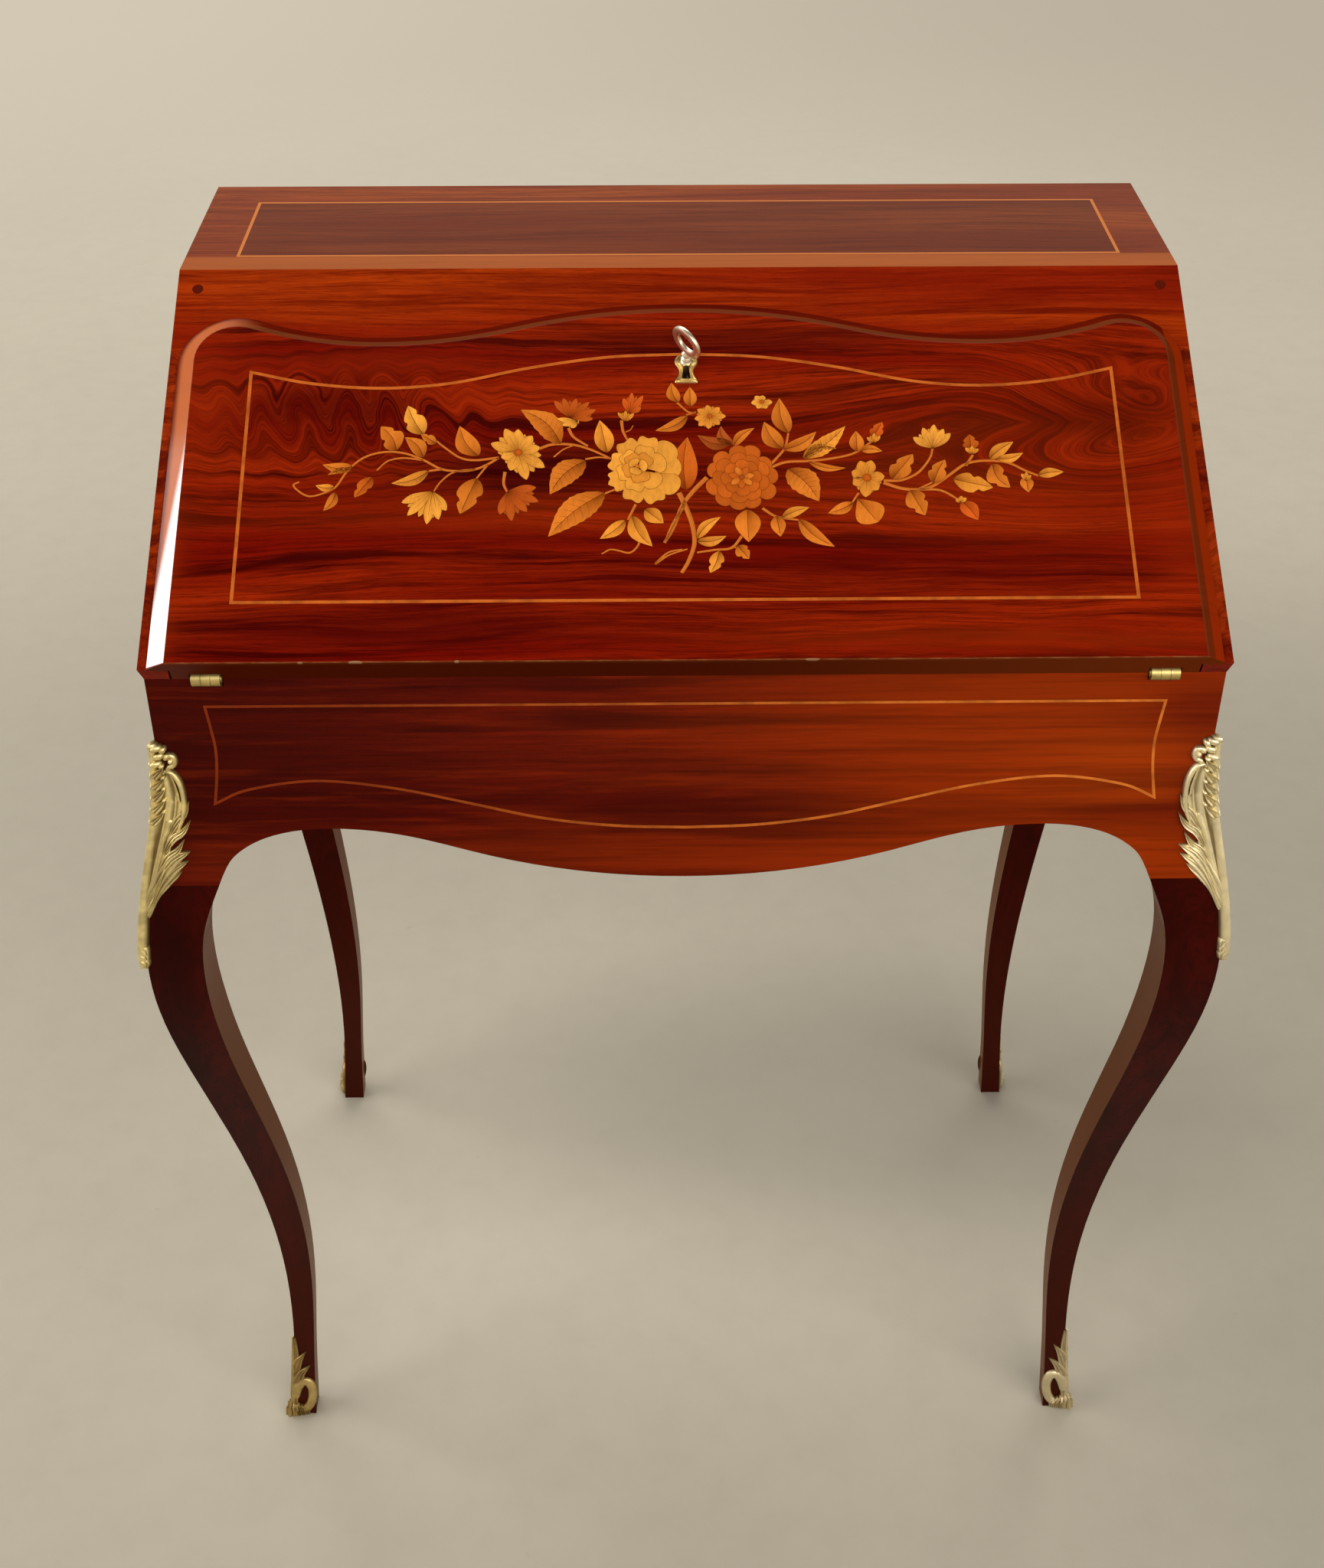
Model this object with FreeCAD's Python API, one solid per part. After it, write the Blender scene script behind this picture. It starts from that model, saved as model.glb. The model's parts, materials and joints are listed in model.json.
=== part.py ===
import FreeCAD, Part
import math
import os

# Slant-front lady's desk on four cabriole legs.
# Millimetres, +Z up, the sitter's side towards -Y, origin on the floor
# under the middle of the desk's outline.

# Overall sizes
carcase_width = 720.0
carcase_depth = 455.0
base_height = 779.0
foot_band_height = 9.0
slope_rise = 162.0
top_depth = 173.0

# Boards of the upper carcase
side_thickness = 20.0
top_thickness = 18.0
rail_thickness = 18.0
back_thickness = 9.0
back_recess = 3.0
base_inset = 3.0
board_thickness = 16.0
board_gap = 0.3
batten_size = 15.0
batten_end_gap = 20.0
panel_edge_round = 1.2

# Base frame and cabriole legs
apron_thickness = 20.0
post_size = 45.0
knee_projection = 24.5
waist_depth = 51.0
foot_width = 19.0
arch_end_depth = 138.0
apron_drop_depth = 155.5
apron_arch_depth = 118.5
side_apron_drop_depth = 145.0
leg_edge_round = 1.0
# share of the waist's height, share of the knee's projection
leg_outer_shares = (
    (0.000, -0.69),
    (0.103, -0.96),
    (0.206, -1.08),
    (0.343, -0.86),
    (0.481, -0.24),
    (0.618, 0.57),
    (0.776, 1.00),
    (0.893, 0.39),
    (1.000, 0.00),
)
# share of the arch end's height, share of the post's size, from the foot up
leg_inner_shares = (
    (0.117, 0.900),
    (0.234, 1.022),
    (0.335, 1.051),
    (0.468, 0.929),
    (0.593, 0.689),
    (0.702, 0.462),
    (0.780, 0.351),
    (0.850, 0.316),
    (0.913, 0.422),
    (0.961, 0.689),
    (1.000, 1.000),
)
arch_end_slope_shares = (1.0, -0.9)
# share of the apron's half length, share of the rise from drop to arch
apron_edge_shares = (
    (0.00, 0.00),
    (0.23, 0.12),
    (0.45, 0.48),
    (0.60, 0.82),
    (0.76, 1.00),
    (0.90, 0.90),
)

# Gilt corner mounts on the front knees, and sabots on the feet
mount_proud = 5.0
mount_top_depth = 49.0
mount_length = 177.0
# share of the mount's height, share of its widest reach over the wood
mount_reach = 24.0
mount_edge_shares = (
    (0.00, 0.02),
    (0.12, 0.16),
    (0.25, 0.30),
    (0.38, 0.62),
    (0.50, 1.00),
    (0.60, 0.74),
    (0.72, 0.52),
    (0.80, 0.58),
    (0.93, 0.42),
    (1.00, 0.05),
)
sabot_height = 97.0
sabot_proud = 3.0
sabot_reach = 15.0
# share of the sabot's height, share of its reach
sabot_edge_shares = (
    (0.00, 1.00),
    (0.22, 0.92),
    (0.45, 0.55),
    (0.62, 0.66),
    (0.80, 0.36),
    (1.00, 0.02),
)
mount_gap = 0.05

# Lid
lid_half_width = 353.5
lid_proud = 9.0
lid_bevel = 13.0
lid_land = 1.5
lid_rabbet = 9.3
lid_seat_gap = 0.3
lid_side_gap = 1.5
rail_width = 71.22
lid_end_gap = 1.5
lid_shoulder_radius = 41.0
lid_shoulder_lap = 27.0
lid_valley_lap = 9.5
lid_valley_share = 0.6
lid_crown_lap = 37.5
crown_share = 0.57
leather_depth = 1.0
leather_gap = 0.1
lid_leather_side_margin = 48.5
lid_leather_low_margin = 34.0
lid_leather_high_margin = 56.5
board_leather_side_margin = 37.0
board_leather_front_margin = 30.0
board_leather_back_margin = 30.0

# Lid hinges
hinge_inset = 41.0
knuckle_radius = 5.0
knuckle_length = 19.0
knuckle_gap = 0.3
pin_radius = 1.5
pin_clearance = 0.05
pin_head_radius = 2.4
pin_head_height = 0.8
leaf_thickness = 2.0
leaf_length = 31.0
leaf_gap = 0.15
knuckle_relief = 0.5
hinge_screw_shares = (0.42, 0.80)
screw_radius = 1.4
screw_head_radius = 2.7
screw_head_height = 1.3
screw_length = 9.0
screw_gap = 0.05

# Lock, key and escutcheon
keyhole_x = 3.0
key_depth = 18.5
case_half_width = 30.0
case_length = 36.5
case_thickness = 12.0
case_front_wall = 1.65
cavity_depth = 4.1
cavity_half_width = 14.3
bit_radius = 8.4
bit_thickness = 2.4
bit_width = 3.2
bit_clearance = 1.0
bolt_thickness = 3.5
bolt_half_width = 14.0
bolt_travel = 7.0
talon_rise = 3.6
talon_notch_gap = 0.4
bolt_end_gap = 0.8
shank_radius = 2.5
shank_clearance = 0.1
shank_end_gap = 0.4
case_back_wall = 2.0
key_rest_turn = 61.0
key_draw_turn = 90.0
collar_radius = 4.0
collar_length = 4.5
collar_gap = 0.3
key_neck_length = 12.5
bow_width = 29.0
bow_height = 26.0
bow_band = 4.0
bow_thickness = 3.6
bow_round = 1.1
keyhole_radius = 3.4
keyhole_low = 12.6
keyhole_top_width = 3.6
keyhole_bottom_width = 6.3
escutcheon_radius = 8.0
escutcheon_low = 16.6
escutcheon_bottom_width = 16.0
escutcheon_waist_width = 12.0
escutcheon_thickness = 1.6
lock_screw_x = 24.0
lock_screw_inset = 6.0
strike_half_width = 22.0
strike_thickness = 1.2
strike_width = 10.0
strike_slot_gap = 0.5
plug_radius = 4.0
plug_depth = 6.0
plug_side_inset = 14.5
plug_top_inset = 17.2

# Drawers and pigeonholes inside
gallery_depth = 168.0
drawer_space_height = 62.0
shelf_thickness = 8.0
divider_thickness = 8.0
divider_share = 0.332
divider_cove = 26.0
drawer_gap = 0.4
drawer_back_gap = 3.0
drawer_front_thickness = 10.0
drawer_wall = 6.0
drawer_bottom = 5.0
drawer_back_drop = 8.0
knob_radius = 6.5
knob_length = 12.0
knob_neck_radius = 2.6
knob_neck_length = 5.0
knob_dowel_length = 5.0
knob_gap = 0.05
gallery_gap = 0.3

# One overrun serves every cut
over = 5.0

# Places worked out from the sizes above
half_width = carcase_width / 2
base_half_width = half_width - base_inset
base_depth = carcase_depth - 2 * base_inset
base_middle = mount_proud / 2
base_front = base_middle - base_depth / 2
base_back = base_middle + base_depth / 2
front_y = base_front - base_inset
back_y = base_back + base_inset
top_front_y = back_y - top_depth
slope_start_height = base_height + foot_band_height
desk_height = slope_start_height + slope_rise
slope_run = top_front_y - front_y
slope_angle = math.degrees(math.atan2(slope_rise, slope_run))
slope_length = math.hypot(slope_rise, slope_run)
slope_sine = slope_rise / slope_length
slope_cosine = slope_run / slope_length
inner_half = half_width - side_thickness
rail_low = slope_length - rail_width
lid_inner_reach = rail_low - lid_end_gap
lid_inner_half = inner_half - lid_side_gap
lid_shoulder_reach = rail_low + lid_shoulder_lap
lid_valley_reach = rail_low + lid_valley_lap
lid_crown_reach = rail_low + lid_crown_lap
lid_valley_x = lid_half_width * lid_valley_share
lid_leather_half = lid_inner_half - lid_leather_side_margin
lid_leather_low = lid_leather_low_margin
lid_leather_high = lid_inner_reach - lid_leather_high_margin
board_leather_half = base_half_width - apron_thickness - board_leather_side_margin
back_face = back_y - back_recess
gallery_back = back_face - back_thickness
gallery_front = gallery_back - gallery_depth
shelf_low = base_height + drawer_space_height
shelf_high = shelf_low + shelf_thickness
divider_x = inner_half * divider_share
hinge_x = base_half_width - hinge_inset
hinge_y = base_front
hinge_z = base_height
key_reach = lid_inner_reach - key_depth
case_low_reach = lid_inner_reach - case_length
plug_x = half_width - plug_side_inset
plug_reach = slope_length - plug_top_inset
waist_height = base_height - waist_depth
arch_end_height = base_height - arch_end_depth
apron_drop_height = base_height - apron_drop_depth
apron_arch_height = base_height - apron_arch_depth
side_apron_drop_height = base_height - side_apron_drop_depth
mount_high = base_height - mount_top_depth
mount_low = mount_high - mount_length
post_line_x = base_half_width - post_size
post_line_y = base_depth / 2 - post_size

X = FreeCAD.Vector(1, 0, 0)
Y = FreeCAD.Vector(0, 1, 0)
Z = FreeCAD.Vector(0, 0, 1)


def box(x0, x1, y0, y1, z0, z1):
    """A box between two corners."""
    return Part.makeBox(x1 - x0, y1 - y0, z1 - z0, FreeCAD.Vector(x0, y0, z0))


def prism_along_x(points, x0, x1):
    """A straight-sided outline of (y, z) points, extruded from x0 to x1."""
    corners = [FreeCAD.Vector(x0, y, z) for y, z in points]
    face = Part.Face(Part.makePolygon(corners + corners[:1]))
    return face.extrude(X * (x1 - x0))


def prism_along_y(points, y0, y1):
    """A straight-sided outline of (x, z) points, extruded from y0 to y1."""
    corners = [FreeCAD.Vector(x, y0, z) for x, z in points]
    face = Part.Face(Part.makePolygon(corners + corners[:1]))
    return face.extrude(Y * (y1 - y0))


def line(a, b):
    return Part.LineSegment(a, b).toShape()


def spline(points, start=None, end=None):
    """A smooth curve through the points, with end directions if given."""
    curve = Part.BSplineCurve()
    if start is None:
        curve.interpolate(Points=points)
    else:
        curve.interpolate(Points=points, InitialTangent=start, FinalTangent=end)
    return curve.toShape()


def cylinder(radius, length, base, axis):
    return Part.makeCylinder(radius, length, base, axis)


def mirrored_x(shape):
    return shape.mirror(FreeCAD.Vector(0, 0, 0), X)


def mirrored_y(shape):
    """The shape mirrored front to back about the base frame's middle."""
    return shape.mirror(FreeCAD.Vector(0, base_middle, 0), Y)


def both_sides(shape):
    return [shape, mirrored_x(shape)]


def on_slope(shape):
    """Lay a shape drawn as (x, up the slope, out of the slope) on the carcase."""
    turned = shape.copy()
    turned.rotate(FreeCAD.Vector(0, 0, 0), X, slope_angle)
    turned.translate(FreeCAD.Vector(0, front_y, slope_start_height))
    return turned


def slope_point(reach, out):
    """The (y, z) of a point given up the slope and out of it."""
    y = front_y + reach * slope_cosine - out * slope_sine
    z = slope_start_height + reach * slope_sine + out * slope_cosine
    return y, z


def from_slope(y, z):
    """The (reach, out) of a (y, z) point."""
    dy = y - front_y
    dz = z - slope_start_height
    reach = dy * slope_cosine + dz * slope_sine
    out = dz * slope_cosine - dy * slope_sine
    return reach, out


# Leg outline, as (offset outwards from the base's face, height)
def leg_outer_points():
    return [(out * knee_projection, up * waist_height) for up, out in leg_outer_shares]


def leg_inner_points():
    foot_out = leg_outer_points()[0][0] - foot_width
    points = [(foot_out, 0)]
    for up, back in leg_inner_shares:
        points.append((-back * post_size, up * arch_end_height))
    return points


def leg_profile(outward, depth):
    """A face across the leg. Outward is the axis that its offset runs along."""

    def at(offset, height):
        return outward * offset + Z * height

    outer = [at(*p) for p in leg_outer_points()]
    toe_out = outer[1] - outer[0]
    edges = [spline(outer, toe_out, Z)]
    edges.append(line(outer[-1], at(0, base_height)))
    if depth:
        edges.append(line(at(0, base_height), at(-depth, base_height)))
        edges.append(line(at(-depth, base_height), at(-depth, 0)))
        edges.append(line(at(-depth, 0), outer[0]))
    else:
        inner = [at(*p) for p in leg_inner_points()]
        arch_end = outward * arch_end_slope_shares[0] + Z * arch_end_slope_shares[1]
        edges.append(line(at(0, base_height), at(-post_size, base_height)))
        edges.append(line(at(-post_size, base_height), inner[-1]))
        edges.append(spline(inner, inner[1] - inner[0], -arch_end))
        edges.append(line(inner[0], outer[0]))
    return Part.Face(Part.Wire(Part.sortEdges(edges)[0]))


def swept_body(outward, across, depth, low, high, proud=0):
    """The base's curved outside, run along a face from low to high."""
    face = leg_profile(outward, depth)
    face.translate(outward * proud + across * low)
    return face.extrude(across * (high - low))


def leg_at_corner():
    """The leg in corner coordinates: both outward offsets start at zero."""
    reach = knee_projection + over
    low = -base_depth / 2
    front = leg_profile(X, 0)
    front.translate(Y * low)
    front = front.extrude(Y * (reach - low))
    side = leg_profile(Y, 0)
    side.translate(X * low)
    side = side.extrude(X * (reach - low))
    leg = front.common(side).Solids[0]
    return leg


def corner_shell(proud, reach, low, high, shares):
    """A thin metal casting that wraps a leg's outer corner."""
    deep = base_depth / 2
    outside = knee_projection + proud + over
    casting = swept_body(X, Y, deep, -deep, outside, proud).common(
        swept_body(Y, X, deep, -deep, outside, proud)
    )
    wood = swept_body(X, Y, deep, -deep, outside, mount_gap).common(
        swept_body(Y, X, deep, -deep, outside, mount_gap)
    )
    outer = leg_profile(X, deep).Edges[0].Curve
    points = []
    for up, wide in shares:
        height = low + up * (high - low)
        points.append((corner_offset(height) - wide * reach, height))
    silhouettes = []
    for outward, across in ((X, Y), (Y, X)):
        inner = [outward * p[0] + Z * p[1] for p in points]
        far = outward * outside
        edges = [
            spline(inner),
            line(inner[-1], far + Z * inner[-1].z),
            line(far + Z * inner[-1].z, far + Z * inner[0].z),
            line(far + Z * inner[0].z, inner[0]),
        ]
        face = Part.Face(Part.Wire(Part.sortEdges(edges)[0]))
        face.translate(across * -deep)
        silhouettes.append(face.extrude(across * (deep + outside)))
    shell = casting.common(silhouettes[0]).common(silhouettes[1]).cut(wood)
    return max(shell.Solids, key=lambda solid: solid.Volume)


def corner_offset(height):
    """How far the leg's outer face stands off the base's face at a height."""
    outer = [X * p[0] + Z * p[1] for p in leg_outer_points()]
    if height >= waist_height:
        return 0.0
    edge = spline(outer, outer[1] - outer[0], Z)
    level = line(X * -base_depth + Z * height, X * base_depth + Z * height)
    return edge.distToShape(level)[1][0][0].x


def placed_corner(shape, right, front):
    """Move a corner-coordinate shape to one of the four corners."""
    moved = shape.copy()
    moved.translate(FreeCAD.Vector(base_half_width, base_middle + base_depth / 2, 0))
    if front:
        moved = mirrored_y(moved)
    if not right:
        moved = mirrored_x(moved)
    return moved


def apron_edge(half_length, drop, arch, end):
    """Half of an apron's scalloped lower edge, as (along, height) points."""
    points = [(a * half_length, drop + up * (arch - drop)) for a, up in apron_edge_shares]
    points.append((half_length, end))
    return points


def scallop_cut(half_length, drop, along, across, low, high):
    """The space below an apron's scalloped edge."""
    half = apron_edge(half_length, drop, apron_arch_height, arch_end_height)
    arch_end = along * arch_end_slope_shares[0] + Z * arch_end_slope_shares[1]
    right = [along * a + Z * h for a, h in half]
    left = [along * -a + Z * h for a, h in half]
    left_end = along * -arch_end_slope_shares[0] + Z * arch_end_slope_shares[1]
    edges = [
        spline(right, along, arch_end),
        spline(left, -along, left_end),
        line(right[-1], along * half_length),
        line(along * half_length, along * -half_length),
        line(along * -half_length, left[-1]),
    ]
    face = Part.Face(Part.Wire(Part.sortEdges(edges)[0]))
    face.translate(across * low)
    return face.extrude(across * (high - low))


def apron(half_length, drop, outward, along):
    """An apron with its curved outside, in corner coordinates."""
    reach = knee_projection + over
    body = swept_body(outward, along, base_depth / 2, -half_length, half_length)
    low = outward * -apron_thickness + along * -(half_length + over) + Z * (drop - apron_thickness)
    high = outward * reach + along * (half_length + over) + Z * (base_height + over)
    window = box(
        min(low.x, high.x), max(low.x, high.x), min(low.y, high.y), max(low.y, high.y), low.z, high.z
    )
    body = body.common(window)
    cut = scallop_cut(half_length, drop, along, outward, -apron_thickness - over, reach)
    return max(body.cut(cut).Solids, key=lambda solid: solid.Volume)


def front_apron():
    piece = apron(post_line_x, apron_drop_height, Y, X)
    piece.translate(FreeCAD.Vector(0, base_middle + base_depth / 2, 0))
    return mirrored_y(piece).cut(hinge_reliefs())


def back_apron():
    piece = apron(post_line_x, apron_drop_height, Y, X)
    piece.translate(FreeCAD.Vector(0, base_middle + base_depth / 2, 0))
    return piece


def side_apron(right):
    piece = apron(post_line_y, side_apron_drop_height, X, Y)
    piece.translate(FreeCAD.Vector(base_half_width, base_middle, 0))
    return piece if right else mirrored_x(piece)


# Upper carcase
def rail_points():
    """The slope rail's section, mitred to the top board."""
    inner_y, inner_z = mitre_point()
    low_out = slope_point(rail_low, 0)
    low_in = slope_point(rail_low, -rail_thickness)
    return [low_out, (top_front_y, desk_height), (inner_y, inner_z), low_in]


def mitre_point():
    """Where the rail's inner face meets the top board's underside."""
    z = desk_height - top_thickness
    rise = z - slope_start_height + rail_thickness * slope_cosine
    reach = rise / slope_sine
    return slope_point(reach, -rail_thickness)


def side_panel(right):
    inner_y, inner_z = mitre_point()
    outline = [
        (base_back, base_height),
        (base_front, base_height),
        (front_y, slope_start_height),
        slope_point(rail_low, 0),
        slope_point(rail_low, -rail_thickness),
        (inner_y, inner_z),
        (back_y, inner_z),
        (back_y, slope_start_height),
    ]
    panel = prism_along_x(outline, inner_half, half_width)
    undercut = prism_along_y(
        [
            (half_width - base_inset, base_height),
            (half_width + over, base_height),
            (half_width + over, slope_start_height),
            (half_width, slope_start_height),
        ],
        front_y - over,
        back_y + over,
    )
    panel = panel.cut(undercut)
    return panel if right else mirrored_x(panel)


def top_board():
    inner_y, inner_z = mitre_point()
    outline = [
        (back_y, desk_height),
        (top_front_y, desk_height),
        (inner_y, inner_z),
        (back_y, inner_z),
    ]
    return prism_along_x(outline, -half_width, half_width)


def slope_rail():
    rail = prism_along_x(rail_points(), -half_width, half_width)
    strike_box = box(
        -strike_half_width, strike_half_width,
        rail_low - over, rail_low + strike_thickness,
        bolt_middle() - strike_width / 2, bolt_middle() + strike_width / 2,
    )
    pocket = bolt_space(strike_slot_gap)
    rail = rail.cut(on_lock(strike_box)).cut(on_lock(pocket))
    for plug in plug_solids():
        rail = rail.cut(plug)
    return rail


def plug_solids():
    base = FreeCAD.Vector(plug_x, plug_reach, -plug_depth)
    return both_sides(on_slope(cylinder(plug_radius, plug_depth, base, Z)))


def back_panel():
    inner_z = mitre_point()[1]
    return box(-inner_half, inner_half, gallery_back, back_face, base_height, inner_z)


def writing_board():
    low = base_height - board_thickness
    half = base_half_width - apron_thickness - board_gap
    front = base_front + apron_thickness + board_gap
    back = base_back - apron_thickness - board_gap
    board = box(-half, half, front, back, low, base_height)
    post = box(
        post_line_x - board_gap, half + over,
        base_middle + post_line_y - board_gap, back + over,
        low - over, base_height + over,
    )
    for right in (True, False):
        for at_front in (True, False):
            corner = mirrored_y(post) if at_front else post
            board = board.cut(corner if right else mirrored_x(corner))
    board = board.cut(board_leather(leather_gap))
    return board.cut(hinge_reliefs())


def board_leather(grow=0):
    front = base_front + apron_thickness + board_leather_front_margin
    back = gallery_front - board_leather_back_margin
    return box(
        -board_leather_half - grow, board_leather_half + grow,
        front - grow, back + grow,
        base_height - leather_depth, base_height + (over if grow else 0),
    )


def battens():
    half = post_line_x - batten_end_gap
    low = base_height - board_thickness - batten_size
    front = base_front + apron_thickness
    batten = box(-half, half, front, front + batten_size, low, low + batten_size)
    return [batten, mirrored_y(batten)]


# Lid
def lid_outline(inset, out):
    """The lid's edge, drawn in by an inset, with its serpentine upper side."""
    half = lid_half_width
    drop_out = lid_shoulder_reach - lid_valley_reach
    side_run = half - lid_shoulder_radius - lid_valley_x
    outer_valley = (side_run ** 2 + drop_out ** 2) / (2 * drop_out) - lid_shoulder_radius
    rise = lid_crown_reach - lid_valley_reach
    radii = (lid_valley_x ** 2 + rise ** 2) / (2 * rise)
    crown = radii * crown_share
    inner_valley = radii - crown

    def on_circle(centre, radius, direction):
        return FreeCAD.Vector(
            centre[0] + radius * direction[0], centre[1] + radius * direction[1], out
        )

    def toward(a, b):
        length = math.hypot(b[0] - a[0], b[1] - a[1])
        return (b[0] - a[0]) / length, (b[1] - a[1]) / length

    shoulder_at = (half - lid_shoulder_radius, lid_shoulder_reach - lid_shoulder_radius)
    outer_at = (lid_valley_x, lid_valley_reach + outer_valley)
    inner_at = (lid_valley_x, lid_valley_reach + inner_valley)
    crown_at = (0, lid_crown_reach - crown)
    shoulder = lid_shoulder_radius - inset
    valley_out = outer_valley + inset
    valley_in = inner_valley + inset
    top = crown - inset
    to_valley = toward(shoulder_at, outer_at)
    to_crown = toward(inner_at, crown_at)
    down = (0, -1)

    def blend(first, second):
        mixed = (first[0] + second[0], first[1] + second[1])
        length = math.hypot(*mixed)
        return mixed[0] / length, mixed[1] / length

    side_end = on_circle(shoulder_at, shoulder, (1, 0))
    shoulder_end = on_circle(shoulder_at, shoulder, to_valley)
    valley = on_circle(outer_at, valley_out, down)
    back_from = (-to_valley[0], -to_valley[1])
    valley_end = on_circle(inner_at, valley_in, to_crown)
    crown_from = (-to_crown[0], -to_crown[1])
    summit = on_circle(crown_at, top, (0, 1))

    def arc(a, centre, radius, first, second, b):
        middle = on_circle(centre, radius, blend(first, second))
        return Part.Arc(a, middle, b).toShape()

    low = -lid_rabbet - over
    right = [
        line(FreeCAD.Vector(half - inset, low, out), side_end),
        arc(side_end, shoulder_at, shoulder, (1, 0), to_valley, shoulder_end),
        arc(shoulder_end, outer_at, valley_out, back_from, down, valley),
        arc(valley, inner_at, valley_in, down, to_crown, valley_end),
        arc(valley_end, crown_at, top, crown_from, (0, 1), summit),
    ]
    left = [mirrored_x(edge) for edge in reversed(right)]
    bottom = line(
        FreeCAD.Vector(inset - half, low, out), FreeCAD.Vector(half - inset, low, out)
    )
    return Part.Wire(Part.sortEdges(right + left + [bottom])[0])


def lid_end_cut():
    """What lies below the lid's sloping front band, in slope coordinates."""
    low_reach, low_out = from_slope(hinge_y, hinge_z)
    step = lid_proud - low_out
    lean = -low_reach / step
    below = low_out - over
    above = lid_proud + over
    far = low_reach - lid_rabbet - over * over
    points = [
        (low_reach - lean * over, below),
        (lean * over, above),
        (far, above),
        (far, below),
    ]
    corners = [FreeCAD.Vector(-half_width - over, s, n) for s, n in points]
    face = Part.Face(Part.makePolygon(corners + corners[:1]))
    return face.extrude(X * 2 * (half_width + over))


def lid_panel():
    out_low = from_slope(hinge_y, hinge_z)[1]
    lip = Part.Face(lid_outline(0, lid_seat_gap)).extrude(Z * (lid_land - lid_seat_gap))
    bevel = Part.makeLoft(
        [lid_outline(0, lid_land), lid_outline(lid_bevel, lid_proud)], True, True
    )
    inner = box(
        -lid_inner_half, lid_inner_half,
        -lid_rabbet - over, lid_inner_reach, out_low, lid_land,
    )
    lid = lip.fuse([bevel, inner]).removeSplitter()
    lid = lid.cut(lid_end_cut())
    lid = lid.cut(lid_leather_flat(leather_gap))
    lid = on_slope(lid)
    lid = lid.cut(on_lock(keyhole_shape(-lid_rabbet - over, lid_proud + over)))
    lid = lid.cut(lid_leaf_space()).cut(knuckle_space())
    for screw in lid_hinge_screws(screw_gap):
        lid = lid.cut(screw)
    for screw in lock_screws(screw_gap):
        lid = lid.cut(screw)
    return lid


def lid_leather_flat(grow=0):
    out_low = from_slope(hinge_y, hinge_z)[1]
    return box(
        -lid_leather_half - grow, lid_leather_half + grow,
        lid_leather_low - grow, lid_leather_high + grow,
        out_low - (over if grow else 0), out_low + leather_depth,
    )


# Hinges
def knuckle_space():
    """Room for both hinge barrels in the lid and the base."""
    half = knuckle_length / 2 + pin_head_height + knuckle_relief
    base = FreeCAD.Vector(hinge_x - half, hinge_y, hinge_z)
    barrel = cylinder(knuckle_radius + knuckle_relief, 2 * half, base, X)
    return barrel.fuse(mirrored_x(barrel))


def base_leaf_space():
    half = knuckle_length / 2 + leaf_gap
    leaf = box(
        hinge_x - half, hinge_x + half,
        hinge_y, hinge_y + leaf_length + leaf_gap,
        hinge_z - leaf_thickness - leaf_gap, hinge_z + over,
    )
    return leaf.fuse(mirrored_x(leaf))


def on_lock(shape):
    """Lay a shape drawn about the keyhole's line on the carcase."""
    moved = shape.copy()
    moved.translate(X * keyhole_x)
    return on_slope(moved)


def turned_about_hinge(shape):
    """Turn a shape drawn on the level board up to the closed lid's inner face."""
    turned = shape.copy()
    turned.rotate(FreeCAD.Vector(0, hinge_y, hinge_z), X, slope_angle)
    return turned


def lid_leaf_space():
    half = knuckle_length / 2 + leaf_gap
    leaf = box(
        hinge_x - half, hinge_x + half,
        hinge_y, hinge_y + leaf_length + leaf_gap,
        hinge_z - over, hinge_z + leaf_thickness + leaf_gap,
    )
    return turned_about_hinge(leaf.fuse(mirrored_x(leaf)))


def hinge_reliefs():
    reliefs = base_leaf_space().fuse(knuckle_space())
    for screw in base_hinge_screws(screw_gap):
        reliefs = reliefs.fuse(screw)
    return reliefs


def knuckle_spans(lid_side):
    """The stretches of the barrel that belong to one leaf."""
    third = (knuckle_length - 2 * knuckle_gap) / 3
    low = hinge_x - knuckle_length / 2
    middle = (low + third + knuckle_gap, low + 2 * third + knuckle_gap)
    if lid_side:
        return [middle]
    return [(low, low + third), (middle[1] + knuckle_gap, low + knuckle_length)]


def hinge_leaf(lid_side):
    """One leaf lying level, with its knuckles on the hinge's axis."""
    up = leaf_thickness if lid_side else -leaf_thickness
    z0 = min(hinge_z, hinge_z + up)
    z1 = max(hinge_z, hinge_z + up)
    plate_start = hinge_y + knuckle_radius + knuckle_gap
    half = knuckle_length / 2
    leaf = box(hinge_x - half, hinge_x + half, plate_start, hinge_y + leaf_length, z0, z1)
    for x0, x1 in knuckle_spans(lid_side):
        base = FreeCAD.Vector(x0, hinge_y, hinge_z)
        leaf = leaf.fuse(cylinder(knuckle_radius, x1 - x0, base, X))
        leaf = leaf.fuse(box(x0, x1, hinge_y, plate_start, z0, z1))
    bore_base = FreeCAD.Vector(hinge_x - knuckle_length, hinge_y, hinge_z)
    bore = cylinder(pin_radius + pin_clearance, 2 * knuckle_length, bore_base, X)
    leaf = leaf.cut(bore).removeSplitter()
    for screw in leaf_screws(lid_side, screw_gap):
        leaf = leaf.cut(screw)
    return leaf


def screw_solid(base, axis, gap):
    """A countersunk wood screw. The base is the middle of its head's top."""
    head = Part.makeCone(
        screw_head_radius + gap, screw_radius + gap, screw_head_height, base, axis
    )
    return head.fuse(cylinder(screw_radius + gap, screw_length, base, axis)).removeSplitter()


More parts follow.
